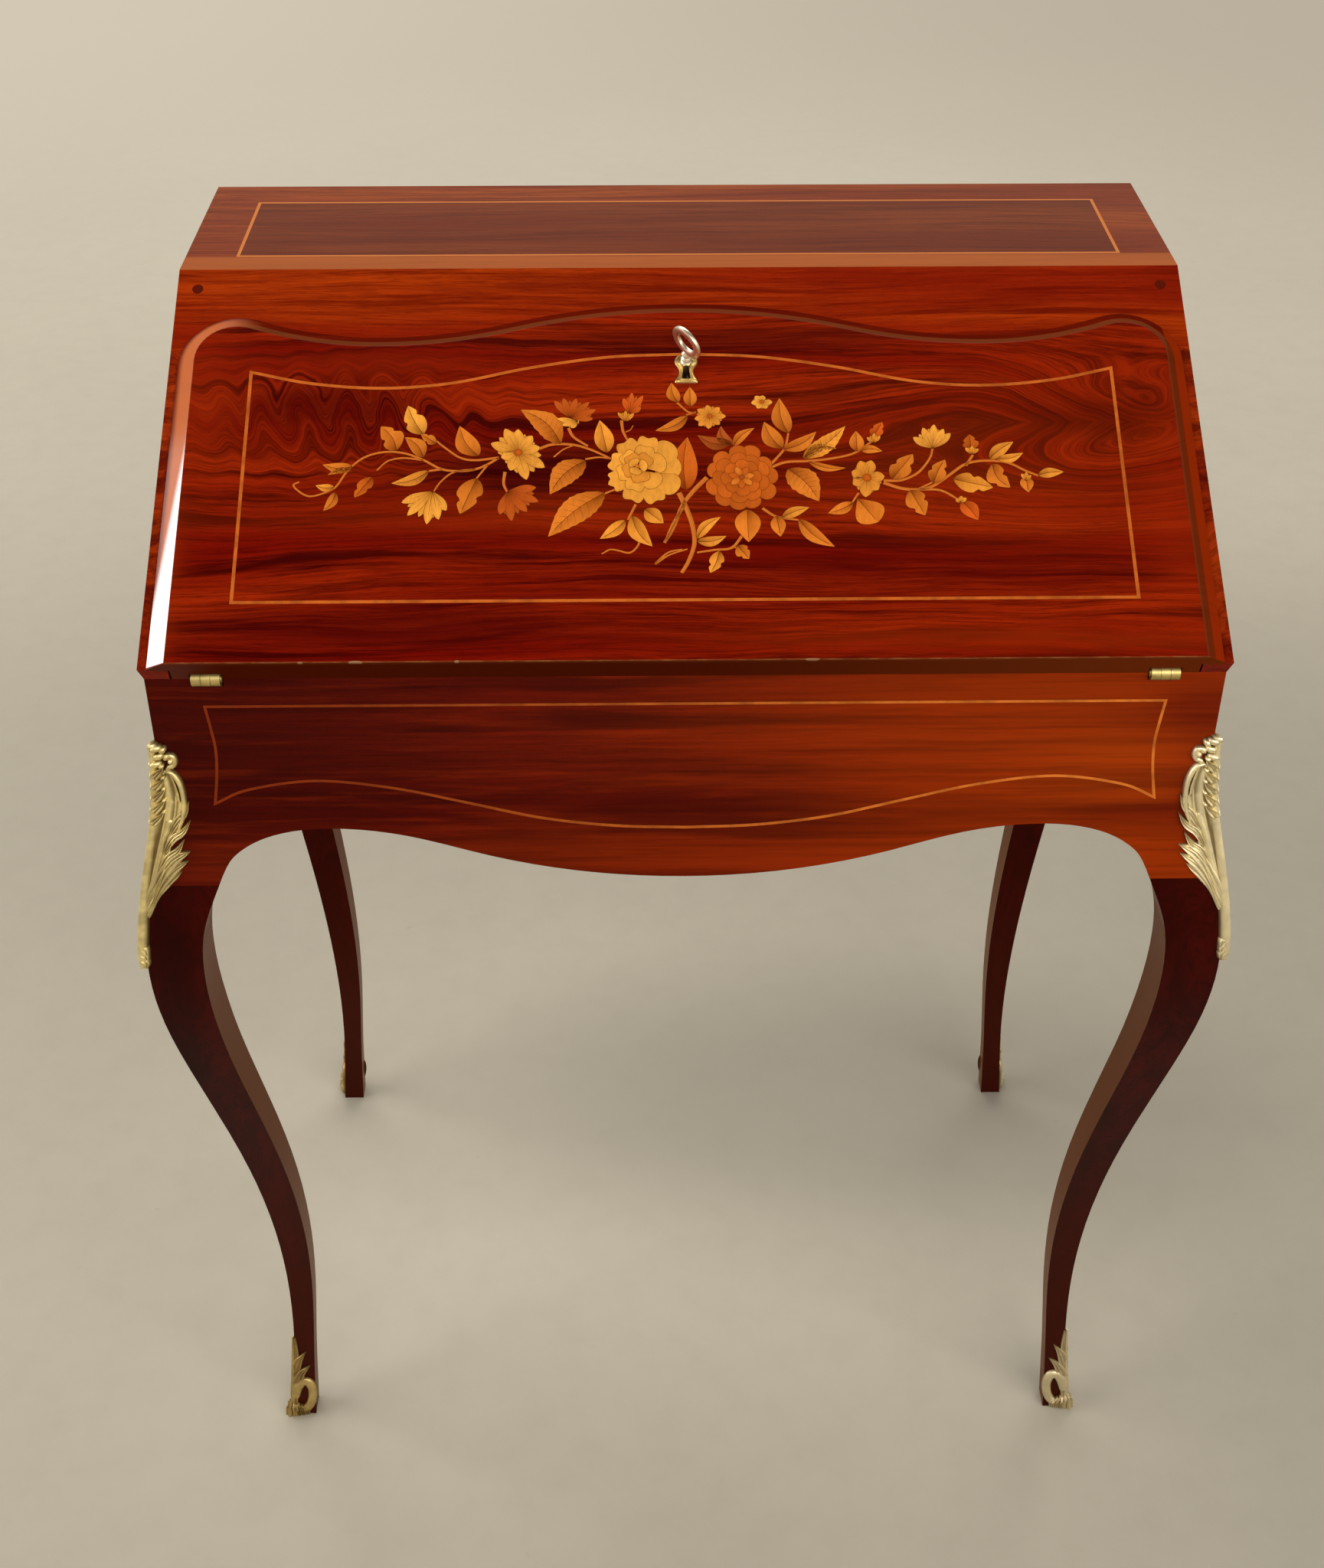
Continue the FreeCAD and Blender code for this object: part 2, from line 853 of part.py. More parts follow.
def leaf_screws(lid_side, gap=0):
    axis = Z if lid_side else -Z
    screws = []
    for share in hinge_screw_shares:
        base = FreeCAD.Vector(hinge_x, hinge_y + share * leaf_length, hinge_z)
        screws.append(screw_solid(base, axis, gap))
    return screws


def base_hinge_screws(gap=0):
    screws = leaf_screws(False, gap)
    return screws + [mirrored_x(screw) for screw in screws]


def lid_hinge_screws(gap=0):
    screws = [turned_about_hinge(screw) for screw in leaf_screws(True, gap)]
    return screws + [mirrored_x(screw) for screw in screws]


def hinge_pin():
    low = hinge_x - knuckle_length / 2
    base = FreeCAD.Vector(low, hinge_y, hinge_z)
    pin = cylinder(pin_radius, knuckle_length, base, X)
    for head_base in (low - pin_head_height, low + knuckle_length):
        base = FreeCAD.Vector(head_base, hinge_y, hinge_z)
        pin = pin.fuse(cylinder(pin_head_radius, pin_head_height, base, X))
    return pin.removeSplitter()


# Lock, drawn in slope coordinates with the lid's inner face as its seat
def inner_face_out():
    return from_slope(hinge_y, hinge_z)[1]


def cavity_top():
    return inner_face_out() - case_front_wall


def bolt_middle():
    return cavity_top() - cavity_depth / 2


def flared_slot(radius, top_width, bottom_width, length, low, high):
    """A round head on the keyhole's centre, with a skirt that flares downwards."""
    head = cylinder(radius, high - low, FreeCAD.Vector(0, key_reach, low), Z)
    end = key_reach - length
    points = [
        (-top_width / 2, key_reach),
        (top_width / 2, key_reach),
        (bottom_width / 2, end),
        (-bottom_width / 2, end),
    ]
    corners = [FreeCAD.Vector(x, s, low) for x, s in points]
    skirt = Part.Face(Part.makePolygon(corners + corners[:1])).extrude(Z * (high - low))
    return head.fuse(skirt).removeSplitter()


def keyhole_shape(low, high):
    return flared_slot(
        keyhole_radius, keyhole_top_width, keyhole_bottom_width, keyhole_low, low, high
    )


def escutcheon():
    plate = flared_slot(
        escutcheon_radius, escutcheon_waist_width, escutcheon_bottom_width,
        escutcheon_low, lid_proud, lid_proud + escutcheon_thickness,
    )
    return on_lock(plate.cut(keyhole_shape(lid_proud - over, lid_proud + over)))


def bolt_space(grow):
    """The path of the lock bolt into the rail, with room all round."""
    half = bolt_half_width + grow
    middle = bolt_middle()
    thick = bolt_thickness / 2 + grow
    high = lid_inner_reach + bolt_travel + grow
    return box(-half, half, rail_low - over, high, middle - thick, middle + thick)


def lock_case():
    top = inner_face_out()
    case = box(
        -case_half_width, case_half_width,
        case_low_reach, lid_inner_reach, top - case_thickness, top,
    )
    cavity = box(
        -cavity_half_width, cavity_half_width,
        key_reach - bit_radius - bit_clearance, lid_inner_reach + over,
        cavity_top() - cavity_depth, cavity_top(),
    )
    case = case.cut(cavity).cut(keyhole_shape(bolt_middle(), top + over))
    bore_low = top - case_thickness + case_back_wall
    bore_base = FreeCAD.Vector(0, key_reach, bore_low)
    bore = cylinder(shank_radius + shank_clearance, top - bore_low, bore_base, Z)
    case = on_lock(case.cut(bore))
    for screw in lock_screws(screw_gap):
        case = case.cut(screw)
    return case


def lock_screws(gap=0):
    low = inner_face_out() - case_thickness
    screws = []
    for x in (-lock_screw_x, lock_screw_x):
        for reach in (case_low_reach + lock_screw_inset, lid_inner_reach - lock_screw_inset):
            base = FreeCAD.Vector(x, reach, low)
            head = Part.makeCone(
                screw_head_radius + gap, screw_radius + gap, screw_head_height, base, Z
            )
            length = case_thickness + screw_length / 2
            shaft = cylinder(screw_radius + gap, length, base, Z)
            screws.append(on_lock(head.fuse(shaft).removeSplitter()))
    return screws


def lock_bolt():
    """The bolt, withdrawn, with a notch that clears the key's shank."""
    middle = bolt_middle()
    low = middle - bolt_thickness / 2
    high = middle + bolt_thickness / 2
    start = key_reach + talon_rise
    bolt = box(
        -bolt_half_width, bolt_half_width, start, lid_inner_reach - bolt_end_gap, low, high
    )
    notch_half = shank_radius + talon_notch_gap
    notch = box(-notch_half, notch_half, start - over, start + talon_rise, low, high)
    return on_lock(bolt.cut(notch))


def strike_plate():
    middle = bolt_middle()
    plate = box(
        -strike_half_width, strike_half_width,
        rail_low, rail_low + strike_thickness,
        middle - strike_width / 2, middle + strike_width / 2,
    )
    return on_lock(plate.cut(bolt_space(strike_slot_gap)))


def key():
    """The key, drawn with its bit and bow along X, then turned to its rest."""
    low = inner_face_out() - case_thickness + case_back_wall + shank_end_gap
    neck_top = lid_proud + key_neck_length
    shank_length = neck_top + bow_band / 2 - low
    shank = cylinder(shank_radius, shank_length, Z * low, Z)
    collar_low = lid_proud + escutcheon_thickness + collar_gap
    collar = cylinder(collar_radius, collar_length, Z * collar_low, Z)
    bit = box(
        0, bit_radius, -bit_thickness / 2, bit_thickness / 2,
        bolt_middle() - bit_width / 2, bolt_middle() + bit_width / 2,
    )
    bow = bow_ring()
    bow.translate(Z * (neck_top + bow_height / 2))
    hollow = ellipse_disc(bow_width / 2 - bow_band, bow_height / 2 - bow_band)
    hollow.translate(Z * (neck_top + bow_height / 2))
    solid = shank.cut(hollow).fuse([collar, bit, bow]).removeSplitter()
    solid.rotate(FreeCAD.Vector(0, 0, 0), Z, key_rest_turn - key_draw_turn)
    solid.translate(FreeCAD.Vector(0, key_reach, 0))
    return on_lock(solid.Solids[0])


def ellipse_disc(half_wide, half_high):
    """A flat oval plate standing in the XZ plane."""
    centre = FreeCAD.Vector(0, -bow_thickness / 2, 0)
    if half_wide >= half_high:
        long_end, short_end = X * half_wide, Z * half_high
    else:
        long_end, short_end = Z * half_high, X * half_wide
    oval = Part.Ellipse(centre + long_end, centre + short_end, centre).toShape()
    return Part.Face(Part.Wire([oval])).extrude(Y * bow_thickness)


def bow_ring():
    """The key's flat oval ring with its edges eased."""
    ring = ellipse_disc(bow_width / 2, bow_height / 2).cut(
        ellipse_disc(bow_width / 2 - bow_band, bow_height / 2 - bow_band)
    )
    ovals = [edge for edge in ring.Edges if edge.Length > bow_height]
    return ring.makeFillet(bow_round, ovals)


# Drawers and pigeonholes
def shelf():
    half = inner_half - gallery_gap
    return box(-half, half, gallery_front, gallery_back, shelf_low, shelf_high)


def lower_divider(x):
    half = divider_thickness / 2
    return box(x - half, x + half, gallery_front, gallery_back, base_height, shelf_low)


def upper_divider(x):
    """An upright with a hollowed front edge, under the top board."""
    half = divider_thickness / 2
    high = mitre_point()[1]
    height = high - shelf_high
    x0 = FreeCAD.Vector(x - half, 0, 0)
    lower = x0 + Y * gallery_front + Z * shelf_high
    nose = x0 + Y * (gallery_front + divider_cove) + Z * (shelf_high + height / 2)
    upper = x0 + Y * (gallery_front + divider_cove) + Z * high
    edges = [
        spline([lower, nose, upper], Y, Z),
        line(upper, x0 + Y * gallery_back + Z * high),
        line(x0 + Y * gallery_back + Z * high, x0 + Y * gallery_back + Z * shelf_high),
        line(x0 + Y * gallery_back + Z * shelf_high, lower),
    ]
    face = Part.Face(Part.Wire(Part.sortEdges(edges)[0]))
    return face.extrude(X * divider_thickness)


def drawer_span(index):
    """The width of a drawer: 0 is the left one, 1 the middle and 2 the right."""
    half = divider_thickness / 2
    walls = [-inner_half, -divider_x - half, -divider_x + half]
    walls += [divider_x - half, divider_x + half, inner_half]
    return walls[2 * index] + drawer_gap, walls[2 * index + 1] - drawer_gap


def drawer_front(index):
    x0, x1 = drawer_span(index)
    low = base_height + drawer_gap
    high = shelf_low - drawer_gap
    board = box(x0, x1, gallery_front, gallery_front + drawer_front_thickness, low, high)
    return board.cut(knob_dowel(index, knob_gap))


def drawer_box(index):
    x0, x1 = drawer_span(index)
    low = base_height + drawer_gap
    high = shelf_low - drawer_gap
    y0 = gallery_front + drawer_front_thickness
    y1 = gallery_back - drawer_back_gap
    tray = box(x0, x1, y0, y1, low, high)
    hollow = box(
        x0 + drawer_wall, x1 - drawer_wall, y0, y1 - drawer_wall,
        low + drawer_bottom, high + over,
    )
    back_cut = box(
        x0 + drawer_wall, x1 - drawer_wall, y1 - drawer_wall - over, y1 + over,
        high - drawer_back_drop, high + over,
    )
    front_wall = box(
        x0 + drawer_wall, x1 - drawer_wall, y0, y0 + drawer_wall, low, high - drawer_back_drop,
    )
    return tray.cut(hollow).cut(back_cut).fuse(front_wall).removeSplitter()


def knob_middle(index):
    x0, x1 = drawer_span(index)
    return (x0 + x1) / 2, base_height + drawer_space_height / 2


def knob_dowel(index, gap=0):
    x, z = knob_middle(index)
    base = FreeCAD.Vector(x, gallery_front - gap, z)
    return cylinder(knob_neck_radius + gap, knob_dowel_length + 2 * gap, base, Y)


def drawer_knob(index):
    """A turned brass knob on its neck and dowel."""
    x, z = knob_middle(index)
    neck = cylinder(
        knob_neck_radius, knob_length, FreeCAD.Vector(x, gallery_front - knob_length / 2, z), Y
    )
    neck = neck.common(
        box(
            x - knob_radius, x + knob_radius,
            gallery_front - knob_length, gallery_front + knob_dowel_length,
            z - knob_radius, z + knob_radius,
        )
    )
    ball_middle = gallery_front - knob_length + knob_radius
    ball = Part.makeSphere(knob_radius, FreeCAD.Vector(x, ball_middle, z))
    face_cut = box(
        x - knob_length, x + knob_length,
        gallery_front - knob_neck_length, gallery_front + knob_length,
        z - knob_length, z + knob_length,
    )
    return ball.cut(face_cut).fuse(neck).removeSplitter()


def save(name, *shapes):
    """Write one sub-part, as one solid or as a group of separate solids."""
    solids = [solid for shape in shapes for solid in shape.Solids]
    whole = solids[0] if len(solids) == 1 else Part.makeCompound(solids)
    whole.exportStep(os.path.join("parts", name + ".step"))


def main():
    os.makedirs("parts", exist_ok=True)
    leg = leg_at_corner()
    sabot = corner_shell(sabot_proud, sabot_reach, 0, sabot_height, sabot_edge_shares)
    corner_mount = corner_shell(
        mount_proud, mount_reach, mount_low, mount_high, mount_edge_shares
    )
    for right, side in ((False, "left"), (True, "right")):
        save(side + "_side", side_panel(right))
        save(side + "_apron", side_apron(right))
        for front, end in ((True, "front"), (False, "back")):
            post = placed_corner(leg, right, front)
            save(end + "_" + side + "_leg", post.cut(hinge_reliefs()) if front else post)
            save(end + "_" + side + "_sabot", placed_corner(sabot, right, front))
        save(side + "_corner_mount", placed_corner(corner_mount, right, True))
        base_leaf = hinge_leaf(False)
        lid_leaf = turned_about_hinge(hinge_leaf(True))
        pin = hinge_pin()
        if not right:
            base_leaf = mirrored_x(base_leaf)
            lid_leaf = mirrored_x(lid_leaf)
            pin = mirrored_x(pin)
        save(side + "_hinge_base_leaf", base_leaf)
        save(side + "_hinge_lid_leaf", lid_leaf)
        save(side + "_hinge_pin", pin)
    save("top_board", top_board())
    save("slope_rail", slope_rail())
    save("rail_screw_plugs", *plug_solids())
    save("back_panel", back_panel())
    save("writing_board", writing_board())
    save("board_leather", board_leather())
    save("board_battens", *battens())
    save("front_apron", front_apron())
    save("back_apron", back_apron())
    save("lid_panel", lid_panel())
    save("lid_leather", on_slope(lid_leather_flat()))
    save("base_hinge_screws", *base_hinge_screws())
    save("lid_hinge_screws", *lid_hinge_screws())
    save("lock_case", lock_case())
    save("lock_screws", *lock_screws())
    save("lock_bolt", lock_bolt())
    save("escutcheon", escutcheon())
    save("strike_plate", strike_plate())
    save("key", key())
    save("pigeonhole_shelf", shelf())
    for x, side in ((-divider_x, "left"), (divider_x, "right")):
        save(side + "_drawer_divider", lower_divider(x))
        save(side + "_pigeonhole_divider", upper_divider(x))
    for index, place in enumerate(("left", "middle", "right")):
        save(place + "_drawer_front", drawer_front(index))
        save(place + "_drawer_box", drawer_box(index))
        save(place + "_drawer_knob", drawer_knob(index))


main()
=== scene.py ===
import json
import math
import random

import bmesh
import bpy
from mathutils import Euler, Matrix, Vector
from mathutils.bvhtree import BVHTree


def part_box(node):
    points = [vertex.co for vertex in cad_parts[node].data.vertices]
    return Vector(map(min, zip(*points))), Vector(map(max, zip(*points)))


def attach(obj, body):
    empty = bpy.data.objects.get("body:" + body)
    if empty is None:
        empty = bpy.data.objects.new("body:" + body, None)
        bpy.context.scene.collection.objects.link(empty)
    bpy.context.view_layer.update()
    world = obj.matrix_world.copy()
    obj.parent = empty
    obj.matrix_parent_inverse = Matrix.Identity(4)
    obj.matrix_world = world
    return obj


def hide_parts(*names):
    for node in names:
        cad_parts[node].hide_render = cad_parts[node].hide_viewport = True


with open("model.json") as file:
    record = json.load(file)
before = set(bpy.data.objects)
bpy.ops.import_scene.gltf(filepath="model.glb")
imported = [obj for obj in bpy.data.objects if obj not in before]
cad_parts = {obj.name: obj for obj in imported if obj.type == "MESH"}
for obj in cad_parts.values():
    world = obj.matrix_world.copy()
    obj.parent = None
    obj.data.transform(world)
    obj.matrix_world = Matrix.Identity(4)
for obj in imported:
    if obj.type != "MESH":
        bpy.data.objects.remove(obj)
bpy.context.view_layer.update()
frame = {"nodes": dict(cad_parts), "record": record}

bl_info = {
    "name": "Slant-front desk",
    "version": (1, 0, 0),
    "blender": (4, 5, 0),
    "location": "3D View > Sidebar > Desk",
    "description": "Dresses a slant-front desk with veneers, inlay and gilt mounts",
    "category": "Object",
}

MM = 0.001

# Millimetres in the desk's own frame: floor at z 0, the sitter towards -Y.
SLOPE_Y, SLOPE_Z = -225.0, 788.0
SLOPE_ANGLE = math.atan2(162.0, 282.0)
LID_FACE = 9.0
LEATHER_DEPTH = 1.0
BASE_HALF_WIDTH = 357.0
BASE_HALF_DEPTH = 224.5
BASE_MIDDLE = 2.5


# Places and lines

def slope_place(x, s, out):
    """A point on the lid: across, up the slope, and out from its seat."""
    sin, cos = math.sin(SLOPE_ANGLE), math.cos(SLOPE_ANGLE)
    return Vector((x, SLOPE_Y + s * cos - out * sin, SLOPE_Z + s * sin + out * cos)) * MM


def smooth_line(points, steps):
    """Points of a Catmull-Rom line through the given points."""
    ends = [tuple(2 * a - b for a, b in zip(points[0], points[1]))]
    ends += list(points)
    ends.append(tuple(2 * a - b for a, b in zip(points[-1], points[-2])))
    line = []
    for k in range(1, len(ends) - 2):
        p0, p1, p2, p3 = ends[k - 1:k + 3]
        for step in range(steps):
            t = step / steps
            line.append(tuple(
                0.5 * (2 * b + (c - a) * t + (2 * a - 5 * b + 4 * c - d) * t * t
                       + (3 * b - a - 3 * c + d) * t ** 3)
                for a, b, c, d in zip(p0, p1, p2, p3)))
    line.append(tuple(points[-1]))
    return line


def even_line(points, step):
    """The same line with points about one step apart."""
    line = [tuple(points[0])]
    for a, b in zip(points, points[1:]):
        count = max(1, round(math.dist(a, b) / step))
        for k in range(1, count + 1):
            line.append(tuple(p + (q - p) * k / count for p, q in zip(a, b)))
    return line


def mirrored(half):
    """A closed line from its right half; points on the middle aren't doubled."""
    return list(half) + [(-x, y) for x, y in reversed(half) if x]


def side_normals(line, closed=False):
    """Left-hand mitre normals of a flat line."""
    sharpest = 0.35
    count = len(line)
    normals = []
    for k in range(count):
        before = line[k - 1] if k or closed else line[k]
        after = line[(k + 1) % count] if k < count - 1 or closed else line[k]
        here = line[k]
        first = Vector((here[0] - before[0], here[1] - before[1]))
        second = Vector((after[0] - here[0], after[1] - here[1]))
        first = first.normalized() if first.length else second.normalized()
        second = second.normalized() if second.length else first
        tangent = (first + second).normalized()
        normal = Vector((-tangent.y, tangent.x))
        lean = max(sharpest, normal.dot(Vector((-second.y, second.x))))
        normals.append(normal / lean)
    return normals


class SurfaceFinder:
    """Finds points on CAD nodes along straight lines."""

    def __init__(self, names):
        verts, faces = [], []
        for name in names:
            mesh = frame["nodes"][name].data
            start = len(verts)
            verts += [v.co.copy() for v in mesh.vertices]
            faces += [[start + v for v in p.vertices] for p in mesh.polygons]
        self.tree = BVHTree.FromPolygons(verts, faces)

    def cast(self, start, toward):
        place = self.tree.ray_cast(Vector(start) * MM, Vector(toward))[0]
        return None if place is None else place / MM


# Pieces

def new_piece(name, mesh, material, body, slot):
    """An object for the mesh that rides on a body."""
    mesh.materials.append(material)
    piece = bpy.data.objects.new(name, mesh)
    bpy.context.scene.collection.objects.link(piece)
    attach(piece, body)
    return piece


def make_piece(name, verts, faces, body, slot, material, sharp=None):
    """A new piece; it is smooth but for edges over the given angle."""
    mesh = bpy.data.meshes.new(name)
    mesh.from_pydata([tuple(v) for v in verts], [], faces)
    mesh.validate()
    work = bmesh.new()
    work.from_mesh(mesh)
    bmesh.ops.recalc_face_normals(work, faces=work.faces)
    work.to_mesh(mesh)
    work.free()
    for polygon in mesh.polygons:
        polygon.use_smooth = sharp is not None
    if sharp is not None:
        mesh.set_sharp_from_angle(angle=math.radians(sharp))
    return new_piece(name, mesh, material, body, slot)


def paint_points(piece, name, values):
    """Stores one colour for each vertex, for the piece's material to read."""
    layer = piece.data.color_attributes.new(name, "FLOAT_COLOR", "POINT")
    for item, value in zip(layer.data, values):
        item.color = (*value, 1.0)


def body_of(node):
    for body, names in frame["record"]["behaviour"]["bodies"].items():
        if node in names:
            return body
    raise RuntimeError("no body holds " + node)


def dress_nodes(material, *names):
    """Puts one material over whole CAD nodes."""
    for name in names:
        node = frame["nodes"][name]
        if not node.material_slots:
            raise RuntimeError(name + " has no material slot")
        for slot in node.material_slots:
            slot.material = material


# Shader values

def linear(colour):
    """A 0 to 255 screen colour as the linear light values shaders use."""
    shares = [c / 255 for c in colour]
    return tuple(c / 12.92 if c <= 0.04045 else ((c + 0.055) / 1.055) ** 2.4 for c in shares)


def scaled(colour, factor):
    return tuple(c * factor for c in colour)


class Field:
    """A value that a shader works out at each point; arithmetic on it adds nodes."""

    def __init__(self, socket):
        self.socket = socket
        self.tree = socket.id_data

    def __add__(self, other):
        return calc("ADD", self, other)

    def __sub__(self, other):
        return calc("SUBTRACT", self, other)

    def __rsub__(self, other):
        return calc("SUBTRACT", other, self)

    def __mul__(self, other):
        return calc("MULTIPLY", self, other)

    def __abs__(self):
        return calc("ABSOLUTE", self)

    def below(self, limit):
        return calc("LESS_THAN", self, limit)

    def above(self, limit):
        return calc("GREATER_THAN", self, limit)

    def or_more(self, other):
        return calc("MAXIMUM", self, other)


def put(socket, value):
    """Links a field to a socket, or sets a plain value on it."""
    if isinstance(value, Field):
        value.tree.links.new(value.socket, socket)
    else:
        socket.default_value = value


def node_for(kind, *values):
    """A new node in the tree that the fields among the values belong to."""
    tree = next(value.tree for value in values if isinstance(value, Field))
    return tree.nodes.new(kind)


def calc(operation, *values):
    node = node_for("ShaderNodeMath", *values)
    node.operation = operation
    for socket, value in zip(node.inputs, values):
        put(socket, value)
    return Field(node.outputs[0])


def blend(share, low, high, mode="MIX"):
    """Mixes two colours, each a field or three linear values."""
    node = node_for("ShaderNodeMix", share, low, high)
    node.data_type = "RGBA"
    node.blend_type = mode
    put(node.inputs[0], share)
    for socket, value in ((node.inputs[6], low), (node.inputs[7], high)):
        put(socket, value if isinstance(value, Field) else (*value, 1.0))
    return Field(node.outputs[2])


def toned(colour, share, tone):
    """The colour, moved towards a screen colour by a share."""
    return blend(share, colour, linear(tone))


def ramp(value, low, high):
    """Maps a range of values to 0..1, smoothly and clamped."""
    node = node_for("ShaderNodeMapRange", value)
    node.interpolation_type = "SMOOTHSTEP"
    put(node.inputs["Value"], value)
    put(node.inputs["From Min"], low)
    put(node.inputs["From Max"], high)
    return Field(node.outputs["Result"])


def fall(value, low, high):
    """Goes from 1 down to 0 over a range of values."""
    return 1.0 - ramp(value, low, high)


def mapped(vector, scale=(1, 1, 1), turn=(0, 0, 0), shift=(0, 0, 0)):
    node = node_for("ShaderNodeMapping", vector)
    put(node.inputs["Vector"], vector)
    put(node.inputs["Scale"], scale)
    put(node.inputs["Rotation"], turn)
    put(node.inputs["Location"], shift)
    return Field(node.outputs["Vector"])


def grain_noise(vector, scale, detail=2.0, roughness=0.5):
    """Cloudy noise, with one scale or a scale for each axis."""
    if isinstance(scale, tuple):
        vector, scale = mapped(vector, scale), 1.0
    node = node_for("ShaderNodeTexNoise", vector)
    put(node.inputs["Vector"], vector)
    put(node.inputs["Scale"], scale)
    put(node.inputs["Detail"], detail)
    put(node.inputs["Roughness"], roughness)
    return Field(node.outputs["Fac"])


def split(vector):
    node = node_for("ShaderNodeSeparateXYZ", vector)
    put(node.inputs[0], vector)
    return [Field(socket) for socket in node.outputs]


def join(x, y, z):
    node = node_for("ShaderNodeCombineXYZ", x, y, z)
    for socket, value in zip(node.inputs, (x, y, z)):
        put(socket, value)
    return Field(node.outputs[0])


def reach_of(x, y):
    """The distance of a flat place from the origin."""
    return calc("SQRT", x * x + y * y)


# Shader groups

FLOAT, VECTOR = "NodeSocketFloat", "NodeSocketVector"


def shader_group(name, inputs, outputs, fill):
    """The group of that name; the first call makes it and fills it."""
    if name in bpy.data.node_groups:
        return bpy.data.node_groups[name]
    group = bpy.data.node_groups.new(name, "ShaderNodeTree")
    for label, kind, value in inputs:
        socket = group.interface.new_socket(label, in_out="INPUT", socket_type=kind)
        if value is not None:
            socket.default_value = value
    for label in outputs:
        group.interface.new_socket(label, in_out="OUTPUT", socket_type=FLOAT)
    start = group.nodes.new("NodeGroupInput").outputs
    end = group.nodes.new("NodeGroupOutput").inputs
    values = fill(*(Field(start[label]) for label, _, _ in inputs))
    for label, value in zip(outputs, values):
        put(end[label], value)
    return group


def wood_figure_group():
    """Dark streaks, fine fibres and pores of wood whose grain runs along X."""
    def fill(vector, lines, warp, seed):
        x, y, z = split(vector)
        z = z + seed
        slow = grain_noise(join(x, y, z), (2.4, 9.0, 9.0), 3.0, 0.45)
        y = y + (slow - 0.5) * warp * 0.045
        flow = join(x, y * lines, z)
        broad = grain_noise(flow, (1.5, 0.28, 20.0))
        streak = grain_noise(flow, (3.2, 1.0, 20.0), 5.0, 0.68)
        ridge = abs(grain_noise(flow, (4.6, 1.7, 30.0), 4.0, 0.6) - 0.5)
        fibre = grain_noise(flow, (13.0, 5.5, 40.0), 5.0, 0.75)
        pores = grain_noise(flow, (95.0, 26.0, 90.0))
        return (ramp(streak, 0.50, 0.63), fall(ridge, 0.005, 0.06), ramp(fibre, 0.38, 0.64),
                ramp(pores, 0.56, 0.68), ramp(broad, 0.36, 0.64))

    return shader_group(
        "Wood figure",
        (("Vector", VECTOR, None), ("Lines", FLOAT, 85.0), ("Warp", FLOAT, 1.4), ("Seed", FLOAT, 0.0)),
        ("Streak", "Lines", "Fibre", "Pores", "Broad"), fill)


def polish_group():
    """Fine unevenness of a hand-polished surface: its gloss and its ripple."""
    def fill(vector, gloss):
        smear = grain_noise(vector, 14.0, 3.0, 0.6)
        dust = grain_noise(vector, 900.0)
        ripple = grain_noise(vector, 60.0)
        return gloss + smear * 0.1 + ramp(dust, 0.6, 0.8) * 0.1, ripple + dust * 0.15

    return shader_group("Hand polish", (("Vector", VECTOR, None), ("Gloss", FLOAT, 0.16)),
                        ("Roughness", "Height"), fill)


def metal_group():
    """Cast and chased metal: tone, roughness and a fine tool-marked height."""
    def fill(vector, grain, gloss):
        fine = grain_noise(vector, grain, 3.0, 0.6)
        broad = grain_noise(vector, 90.0)
        return ramp(broad, 0.3, 0.7), gloss + fine * 0.25, fine

    return shader_group(
        "Chased metal",
        (("Vector", VECTOR, None), ("Grain", FLOAT, 700.0), ("Gloss", FLOAT, 0.25)),
        ("Tone", "Roughness", "Height"), fill)


